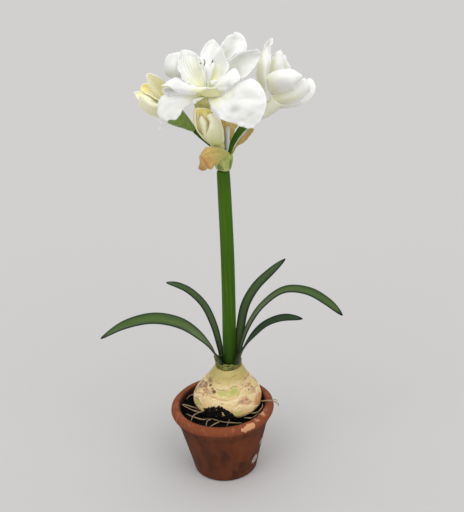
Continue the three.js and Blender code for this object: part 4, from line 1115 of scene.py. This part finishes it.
# %% Front flower
FRONT_FLOWER = {
    "low left": [
        1,-44,513.5, 1.5,-45,512.5, 2.5,-46,511,  -12,-53,518, -13,-57,514.5, -11,-57,510,
        -27.5,-58,520, -27,-63,512.5, -22,-63,502.5,
        -40.5,-60,520, -37.5,-67,510.5, -28.5,-67,496,  -48.5,-62,505, -44,-68,501.5, -36,-68,495,
        -45,-62,496, -43,-66,495, -38,-65,490,  -49,-60,483.5, -48,-60,481.5, -45.5,-60,484.5,
    ],
    "low right": [
        6,-45,509.5, 7,-45,510, 8,-44,510,  9.5,-56,501.5, 17,-57,508, 19.5,-51,512,
        17.5,-64,493.5, 28,-65,505, 29,-55,521,  30,-70,488.5, 41.5,-71,509, 41.5,-57,529.5,
        44,-74,485.5, 55.5,-74,508, 54.5,-58,532.5,  55,-75,484, 67,-72,507, 62.5,-60,527,
    ],
    "right": [
        7.5,-42,512, 8.5,-43,512.5, 9.5,-43,511.5,  15.5,-36,525, 16,-38,523.5, 17,-39,520,
        24.5,-31,536, 24,-32,533.5, 25,-33,530.5,  31,-26,544.5, 33.5,-27,536, 38,-32,526,
        42,-21,551, 43,-17,536.5, 46.5,-27,523.5,  54.5,-17,551.5, 54.5,-13,539, 54,-20,528,
        66.5,-14,550, 65,-12,542.5, 61,-15,534.5,
    ],
    "high right": [
        6.5,-41,512, 7.5,-42,512.5, 9,-41,512,  12.5,-34,531, 14,-36,530.5, 16,-35,529,
        18.5,-28,547.5, 21,-28,544.5, 25,-29,543,  21,-22,557, 25.5,-18,550.5, 30,-23,543.5,
        25.5,-14,561, 33.5,-9,554.5, 37.5,-15,546.5,  33.5,-5,566, 40.5,0,557.5, 46,-8,548,
        40.5,4,567.5, 49.5,3,560, 52.5,-3,547,
    ],
    "top": [
        5,-42,512.5, 6.5,-44,513, 8,-42,512.5,  5,-43,539, 9,-46,540, 13,-43,538.5,
        1,-34,547.5, 8.5,-36,547, 17,-34,546.5,  1,-26,553.5, 9,-22,552, 19.5,-26,552.5,
        4.5,-17,559, 12.5,-13,557.5, 23,-20,556,  10.5,-12,562.5, 15,-10,563.5, 20,-14,560.5,
    ],
    "left, rolled back": [
        4,-42,512.5, 4.5,-43,512.5, 5,-43,511.5,  -3,-35,533.5, -2,-38,531, -2.5,-39,527,
        -11,-24,551, -10,-27,542, -14,-33,526,  -20,-21,555, -19.5,-32,544, -21.5,-35,530,
        -28.5,-15,553, -28.5,-33,544.5, -30,-31,527.5,  -35,-6,548.5, -37,-23,541.5, -36,-20,527,
        -37,4,540, -38.5,-4,533, -37,-6,526,  -33.5,8,533.5, -35.5,4,528.5, -33.5,2,524,
    ],
    "inner left": [
        2.5,-44,513.5, 3.5,-46,514, 5,-46,514,  -5,-52,525, 0,-50,523.5, 6.5,-48,523,
        -15.5,-53,529.5, -6,-44,533, 4.5,-43,535.5,  -21.5,-49,539, -12,-38,543.5, 3,-41,546,
        -23,-41,550, -14,-31,551, 1.5,-37,551.5,  -21.5,-33,559.5, -13,-28,559, -0.5,-34,554.5,
    ],
    "inner right": [
        6.5,-45,513.5, 8,-47,514, 9,-46,514,  7,-49,525, 11.5,-51,525.5, 16,-50,525,
        5.5,-46,533, 13.5,-42,531.5, 22.5,-48,531.5,  8,-43,542, 17,-37,541, 31,-43,544,
        13.5,-38,550.5, 20.5,-34,550.5, 27.5,-37,549.5,
        22.5,-33,559.5, 23.5,-33,560.5, 24.5,-33,558.5,
    ],
    "lip left": [
        6.5,-46,513.5, 5.5,-47,513, 5,-47,513,  10.5,-55,524, 8,-56,523.5, 7,-57,523,
        -3,-59,527.5, -4.5,-63,525.5, -5,-63,522,  -16,-60,532.5, -17,-66,529, -16.5,-66,523,
        -25,-59,538.5, -26.5,-67,532.5, -27.5,-68,526.5,
        -34,-61,536, -35,-67,535.5, -33.5,-69,533.5,
        -40.5,-63,532.5, -41,-66,533, -40.5,-67,532.5,
    ],
    "lip right": [
        10.5,-46,513.5, 11,-47,513.5, 11.5,-47,512.5,  13.5,-52,525.5, 14,-53,523.5, 15,-54,521,
        20.5,-52,531.5, 21,-57,528, 23.5,-57,522.5,  27.5,-50,537.5, 29.5,-59,532.5, 32,-60,527,
        34,-47,541.5, 36,-58,537, 38,-61,530.5,  38,-50,541.5, 41,-58,537.5, 41.5,-60,533.5,
    ],
    "under the cup": [
        0,-46,513, 10,-48,511.5, 19.5,-46,511,  -5,-51,517, 7.5,-53,515, 23,-51,514.5,
        -10,-55,523, 6,-56,521, 25,-54,521,  -13,-57,527, 4,-58,525.5, 17,-56,524,
    ],
    "curled end": [
        -20.5,-65.5,528.5, -20.5,-66,526.5, -21,-66.5,524.5,
        -26.5,-62,528.5, -27,-61,525, -27.5,-63,522,  -33,-62,530, -33.5,-59,524.5, -33.5,-62,520,
        -40,-62,530, -41,-61,525.5, -39,-63,521.5,
    ],
    "fold": [
        3,-45,512, 3.5,-46,512, 3,-46,511.5,  -4,-55,514, -4,-57,512.5, -4.5,-56,511.5,
        -10,-57,512, -10.5,-58,511.5, -9.5,-57,510,
    ],
    "throat": [
        9,-44,513, 9.5,-45,513, 10,-44,513,  8,-50,526.5, 11.5,-51,525, 14,-50,524.5,
        8.5,-49,529.5, 13,-50,529, 16.5,-49,527,  13.5,-48,531, 16.5,-48,530, 19,-48,528.5,
    ],
}
# mark 0 is the green of throat and cup, mark 1 cream tint and painted shade under the cup, mark 2
# painted shade
FRONT_PATCHES = {
    "low left": [(0, 0, 0, 2, 0.16, 0.9), (2, 0.4, 0.5, 0.4, 0.2, 0.3),
                 (2, -0.6, 0.75, 0.3, 0.15, 0.3)],
    "low right": [(0, 0.95, 0.34, 0.35, 0.16, 0.45), (0, 0.3, 0.1, 0.9, 0.12, 0.7),
                  (2, -0.1, 0.52, 0.2, 0.08, 0.75), (2, -0.5, 0.8, 0.25, 0.1, 0.35),
                  (2, 0.3, 0.75, 0.12, 0.2, 0.35), (2, 0.6, 0.7, 0.1, 0.2, 0.3)],
    "right": [(2, 0.3, 0.5, 0.9, 0.2, 1.0), (0, 0.6, 0.42, 0.5, 0.12, 0.5),
              (2, -0.6, 0.7, 0.4, 0.2, 0.4)],
    "high right": [(2, 0.4, 0.5, 0.8, 0.2, 0.9), (2, -0.5, 0.8, 0.3, 0.2, 0.25)],
    "top": [(2, 0.5, 0.6, 0.4, 0.25, 0.45), (2, -0.4, 0.8, 0.2, 0.2, 0.25)],
    "left, rolled back": [(2, 1, 0.7, 0.7, 0.35, 1.0), (2, -0.5, 0.5, 0.4, 0.2, 0.3)],
    "inner left": [(0, 0.2, 0.22, 2, 0.22, 0.6), (0, 0.4, 0.55, 0.6, 0.2, 0.2),
                   (2, 0.6, 0.5, 0.5, 0.25, 0.35)],
    "inner right": [(0, -0.25, 0.4, 0.8, 0.2, 0.8), (2, 0.4, 0.7, 0.8, 0.3, 0.5),
                    (0, 0, 0.1, 2, 0.2, 0.7)],
    "lip left": [(0, 0.5, 0.28, 0.9, 0.14, 0.8), (2, -0.2, 0.6, 0.3, 0.15, 0.3)],
    "lip right": [(0, 0.2, 0.1, 2, 0.25, 0.5), (2, 0.3, 0.5, 0.4, 0.15, 0.3)],
    "under the cup": [(0, 0, 0.5, 3, 0.9, 0.9), (1, 0.8, 0.4, 0.5, 0.3, 0.9),
                      (1, 0, 0.0, 2, 0.15, 0.6)],
    "curled end": [(2, -0.3, 0.6, 0.5, 0.4, 0.9)],
    "fold": [(0, 0, 0, 2, 0.4, 0.6)],
    "throat": [(0, -1, 0.2, 0.8, 0.5, 0.8)],
}
# (s, t, reach in s, reach in t, depth) of dents pressed into a petal
FRONT_DENTS = {
    "low right": [(-0.1, 0.52, 0.2, 0.08, -1.8), (0.3, 0.7, 0.12, 0.12, 1.4),
                  (-0.4, 0.8, 0.2, 0.08, 1.3), (0.65, 0.75, 0.1, 0.15, -1.1),
                  (0.05, 0.85, 0.1, 0.1, -1.0), (-0.8, 0.7, 0.1, 0.08, 1.2)],
    "low left": [(0.2, 0.55, 0.2, 0.12, 1.2), (-0.4, 0.7, 0.15, 0.12, -1.0)],
    "high right": [(-0.4, 0.75, 0.25, 0.1, 1.2), (0.5, 0.6, 0.25, 0.15, -1.2)],
}
RUFFLES = {"low right": 1.3, "low left": 1.1, "lip left": 1.2, "lip right": 1.1,
           "inner left": 1.2}
bm = bmesh.new()
for name, numbers in FRONT_FLOWER.items():
    creased = 0.75 if name == "inner left" else 0.06
    petal(bm, numbers, FRONT_PATCHES[name], FRONT_DENTS.get(name, ()),
          RUFFLES.get(name, 0.9), creased, grooves=8, rim=0.8)
piece(bm, "front_flower_petals", white_petal, "flower_front", thick=0.9)


def tube(name, stalk_name, path, radii, material, tint=(0, 0, 0, 0)):
    """The ovary and tube that carry a bloom, from just beyond the end of its stalk."""
    pedicel = PEDICELS[stalk_name]
    end, way = Vector(pedicel["path"][-1]), heading(curve(pedicel["path"]), 1)
    r = pedicel["radii"][-1]
    bm = bmesh.new()
    stalk(bm, [end + way * 0.3, end + way * 1.5, *path], [r, r + 0.4, *radii], sides=24)
    marks = bm.verts.layers.float_color.new("marks")
    for v in bm.verts:
        v[marks] = tint
    piece(bm, name, material)


tube_skin, tree, shader = surface("flower_tube_green", Roughness=0.45)
spot = add(tree, "TexCoord").outputs["Object"]
paint(
    tree, shader, "#c3be70",
    (spots(tree, spot, 2.5, 0.4, 0.62, stretch=(1, 1, 0.15)), "#d0cd8a"),
    (spots(tree, spot, 12, 0.45, 0.65), "#adb05c"),
)
tube("front_flower_tube", "pedicel_front", [(1, -12, 480), (-0.5, -22, 498), (6, -43, 514)],
     (7.5, 9.5, 10), tube_skin)

# %% Stamens
ANTHERS = [
    [(4, -50, 554.5), (5.5, -50, 551.5), (5, -50, 549), (4, -50, 546.5)],
    [(14, -50, 553.5), (13.5, -50, 551.5), (12, -50, 549.5)],
    [(0, -49, 550.5), (0.5, -49, 549.5), (1.5, -49, 548.5)],
]
filament, *_ = surface("filament_pale", Base_Color=linear("#f3f4ea"), Roughness=0.5)
anther, tree, shader = surface("anther_ripe", Roughness=0.8)
spot = add(tree, "TexCoord").outputs["Object"]
paint(tree, shader, "#4c4a35", (spots(tree, spot, 1.0, 0.45, 0.6), "#8a8560"))
stems, heads = bmesh.new(), bmesh.new()
for head in ANTHERS:
    foot = Vector((5, -46, 514))
    bend = foot.lerp(Vector(head[-1]), 0.6) + Vector((0, -3, 0))
    stalk(stems, [foot, bend, head[-1]], [0.9, 0.6, 0.4], sides=10)
    stalk(heads, head, [0.3, 0.6, 0.6, 0.3], sides=10, steps=4)
piece(stems, "filaments", filament)
piece(heads, "anthers", anther)

# %% [markdown]
# ## Right flower and the two buds
# The right flower is seen from its side, so its petals still stand close. The left
# bud is just opening, and the front bud is closed and stands before the stalks.

# %% Right flower
RIGHT_FLOWER = {
    "tall": [
        69,5,485.5, 71,0,487, 74.5,3,487.5,  67.5,7,497.5, 71,-3,503.5, 75.5,3,501,
        60,9,511.5, 68.5,-4,518, 73.5,4,512.5,  62,11,525.5, 69.5,-1,530, 76.5,5,526.5,
        67,11,537.5, 72,11,539, 78,7,536.5,  71.5,13,548.5, 74.5,17,546.5, 77,10,544.5,
        78,15,554, 80,15,554.5, 81.5,13,552.5,
    ],
    "second": [
        76.5,8,492, 79,6,492.5, 82,8,492,  72.5,12,513, 81,8,509.5, 90.5,12,507.5,
        77.5,16,527, 84.5,11,525.5, 91.5,14,521.5,  82,18,535.5, 86.5,15,534, 91,16,531,
        88.5,19,539.5, 89,19,539.5, 90,18,539,
    ],
    "third": [
        77.5,8,489, 79,9,488, 80.5,9,488.5,  84.5,20,505.5, 90,20,505, 99.5,21,504,
        88.5,27,523.5, 94,26,525, 99.5,26,517,  92,30,530, 94.5,30,530, 96.5,29,526,
    ],
    "upper front": [
        78.5,0,494, 76,-3,499, 72,0,502.5,  85.5,-5,498.5, 80,-13,511, 71.5,-2,516,
        93.5,-9,502, 89.5,-18,517, 83,-4,524,  100.5,-11,505.5, 101,-17,517.5, 97,-6,525,
        108,-10,513, 110.5,-11,517.5, 108,-9,520,
    ],
    "lower front": [
        80,3,480, 78.5,-1,488, 79,2,494,  93.5,0,482.5, 90.5,-7,492.5, 90,0,498.5,
        105,-1,486, 105.5,-9,497.5, 104,-2,506,  113.5,-1,491, 115,-7,502, 112.5,-2,513,
        119,0,496.5, 118.5,-3,503.5, 115.5,0,510.5,
    ],
    "outer": [
        83,8,476.5, 83,9,480.5, 85,14,485.5,  97,8,476, 98.5,9,483.5, 101,20,494,
        108,7,478.5, 111,8,486.5, 112.5,22,501.5,  117.5,8,482, 121,10,490.5, 121,23,503.5,
        124.5,12,490, 126.5,14,495.5, 125.5,22,500.5,
    ],
    "below": [
        71,4,472, 70.5,0,477, 70.5,2,480.5,  82.5,4,476, 82.5,-3,482.5, 83,2,487.5,
        96.5,4,477, 96.5,-1,482.5, 98.5,4,486.5,  111,6,480, 112,4,482.5, 114,6,487,
    ],
}
# mark 1 is cream tint and painted shade, as down the tall petal's left flank; mark 2 is painted
# shade
RIGHT_PATCHES = {
    "tall": [(1, -0.8, 0.35, 0.6, 0.35, 1.0), (1, 0.3, 0.25, 0.4, 0.25, 0.5),
             (2, 0.6, 0.5, 0.3, 0.3, 0.3)],
    "second": [(0, -0.8, 0.4, 0.6, 0.3, 0.35), (1, -0.5, 0.3, 0.8, 0.3, 0.6)],
    "third": [(1, 0, 0.4, 3, 0.4, 0.4)],
    "upper front": [(1, -0.6, 0.05, 1.2, 0.2, 1.0), (0, 0.8, 0.2, 0.5, 0.2, 0.4),
                    (2, 0.1, 0.5, 0.2, 0.3, 0.2)],
    "lower front": [(1, 0, 0.05, 2, 0.25, 1.0), (0, -0.4, 0.4, 0.5, 0.2, 0.4),
                    (2, 0.3, 0.5, 0.3, 0.4, 0.2)],
    "outer": [(2, 0, 0.8, 0.5, 0.2, 0.3), (1, 0, 0.2, 2, 0.3, 0.5)],
    "below": [(1, 0, 0.3, 2, 0.4, 0.8)],
}
bm = bmesh.new()
for name, numbers in RIGHT_FLOWER.items():
    petal(bm, numbers, RIGHT_PATCHES[name], ruffle=0.7, rim=0.7)
piece(bm, "right_flower_petals", white_petal, "flower_right", thick=0.9)
tube("right_flower_tube", "pedicel_right", [(70, 5, 472.5), (75.5, 5, 478.5), (84, 4, 487)],
     (5.5, 8, 9), white_petal, tint=(0.2, 0.3, 0.1, 0))

# %% Buds
LEFT_BUD = {
    "back": [
        -29.5,-14,476.5, -26.5,-6,478, -22,-8,482.5,  -42,-17,494, -39.5,-3,495, -32,-6,500,
        -51.5,-19,509.5, -47,-5,510, -37.5,-10,515,  -58,-21,522, -52,-10,521.5, -42.5,-14,523.5,
        -59.5,-20,531, -56.5,-16,531.5, -51,-16,530,
    ],
    "inner": [
        -39,-20,495, -41.5,-14,496, -43,-16,499.5,  -54,-24,507, -54.5,-16,509.5, -52,-18,514.5,
        -62,-24,512.5, -62,-18,516.5, -57,-20,519.5,
        -66.5,-22,515, -65.5,-20,519.5, -60.5,-20,522.5,
    ],
    "side": [
        -44.5,-22,490, -46,-18,494.5, -45.5,-16,499.5,  -57.5,-26,498, -56.5,-23,504, -53,-18,508,
        -67.5,-26,503.5, -65.5,-23,509, -60.5,-20,513.5,
        -71.5,-24,508, -71,-22,511, -67.5,-21,514,  -73.5,-22,513, -74.5,-22,513.5, -73,-22,514,
    ],
    "front": [
        -37.5,-12,473, -32.5,-24,484.5, -28.5,-20,490,
        -51,-14,480.5, -45.5,-31,495, -41,-24,500.5,
        -61,-16,485.5, -56.5,-34,500.5, -50,-26,500.5,
        -68.5,-18,496, -62,-32,506, -55.5,-27,506.5,
        -70,-22,506.5, -66.5,-27,511.5, -62,-26,510.5,
    ],
}
FRONT_BUD = {
    "left": [
        10.5,-17,444, 8.5,-18,444, 10,-20,443.5,  3,-31,461.5, -3,-30,460, -0.5,-33,462,
        -1.5,-39,478.5, -10,-37,479.5, -7,-41,471.5,  -3,-42,490, -10,-41,490.5, -8.5,-44,484,
        -3,-43,496.5, -8.5,-44,498, -7.5,-46,494,  -0.5,-43,497, -5.5,-44,499, -6,-45,497,
    ],
    "back": [
        8.5,-16,444, 10,-14,443, 13,-14,443,  -1,-33,466, 3,-30,466, 11.5,-29,466.5,
        -5,-41,483.5, 0.5,-38,483.5, 10.5,-37,481.5,  -6,-44,495, 0.5,-42,494.5, 10.5,-40,489.5,
        -4,-43.5,498, 1,-43,498.5, 10,-41,493.5,
    ],
    "core": [
        7,-20,446.5, 8,-24,448.5, 9,-22,447.5,  -0.5,-36,463.5, 1,-40,465.5, 3.5,-38,465.5,
        -4,-41,478, 0,-46,476, 4.5,-42,475.5,  -5,-43,486, -1,-46,484.5, 3.5,-43,481.5,
        -3,-44,490, -2,-44,490, -1,-44,489,
    ],
    "folded": [
        3,-36,466, 4,-35,467, 6,-35,468,  0.5,-41,482.5, 2.5,-40,481, 5,-40,481,
        -1,-43,491.5, 2,-42,490.5, 5.5,-42,489.5,  -0.5,-43,494.5, 2,-42,494.5, 5,-42,492.5,
    ],
    "right": [
        8.5,-18,443.5, 13.5,-22,443, 19.5,-14,442,  1,-36,461.5, 10.5,-39,459, 21,-24,455,
        4.5,-46,474.5, 12,-48,474.5, 20.5,-30,468,  6.5,-48,483, 11.5,-50,484.5, 18,-36,480,
        4.5,-47,489.5, 8.5,-49,491.5, 13.5,-41,487,  5.5,-45,492, 8,-46,493, 11,-43,492,
    ],
}
BUD_PATCHES = {
    "left": {
        "back": [(0, 0, 0, 2, 0.2, 0.8), (1, 1, 0.65, 0.2, 0.2, 0.4), (1, 0, 0.3, 1, 0.2, 0.2)],
        "inner": [(1, -0.9, 0.95, 0.8, 0.3, 0.9), (1, 0.8, 0.9, 0.6, 0.25, 0.8),
                  (1, 0, 0.5, 2, 0.5, 0.3)],
        "side": [(0, 0, 0, 2, 0.3, 0.7), (2, 0, 1, 2, 0.25, 0.8), (1, 0, 0.6, 1, 0.2, 0.3)],
        "front": [(0, 0, 0, 2, 0.3, 0.9), (0, -1, 0.5, 0.3, 0.4, 0.4)],
    },
    "front": {
        "left": [(0, 0, 0, 2, 0.25, 0.8), (1, 0.25, 0.7, 0.6, 0.45, 1.0)],
        "back": [(1, 0, 0.7, 3, 0.5, 1.0)],
        "core": [(1, 0, 0.3, 2, 0.3, 0.4), (2, -1, 0.6, 0.3, 0.5, 0.8), (2, 1, 0.8, 0.3, 0.4, 0.8)],
        "folded": [(1, 0, 0.6, 3, 1, 0.6)],
        "right": [(0, 0, 0, 2, 0.3, 1.0), (0, 0.9, 0.4, 0.4, 0.3, 0.4),
                  (2, -1, 0.6, 0.18, 0.5, 1.0), (2, 1, 0.7, 0.15, 0.5, 0.7)],
    },
}
for side, petals in (("left", LEFT_BUD), ("front", FRONT_BUD)):
    bm = bmesh.new()
    for name, numbers in petals.items():
        petal(bm, numbers, BUD_PATCHES[side][name], ruffle=0.4, rim=0.9)
    piece(bm, side + "_bud_petals", bud_petal, "bud_" + side, thick=0.9)
bud_green, tree, shader = surface("bud_base_green", Roughness=0.42)
spot = add(tree, "TexCoord").outputs["Object"]
paint(
    tree, shader, "#6c8a38",
    (spots(tree, spot, 2.5, 0.4, 0.62, stretch=(1, 1, 0.2)), "#86a04c"),
)
tube("left_bud_tube", "pedicel_left", [(-20, -13.5, 471), (-28, -14, 478), (-38, -16, 487)],
     (6.5, 10, 12.5), bud_green)
tube("front_bud_tube", "pedicel_bud", [(15.5, -15, 442), (12, -22, 450)], (6, 8.2),
     tube_skin)

# %% [markdown]
# ## Floor
# A wide matt floor carries the plant and catches its soft shadows.

# %% Floor
bm = bmesh.new()
bmesh.ops.create_grid(bm, x_segments=1, y_segments=1, size=9)
mesh = bpy.data.meshes.new("floor")
bm.to_mesh(mesh)
bm.free()
floor = bpy.data.objects.new("floor", mesh)
floor.location.z = -0.5 * MM
bpy.context.collection.objects.link(floor)
studio_floor, *_ = surface("studio_floor_matt", Base_Color=linear("#c1bfbe"), Roughness=0.9)
mesh.materials.append(studio_floor)
print("floor", floor.location.z)
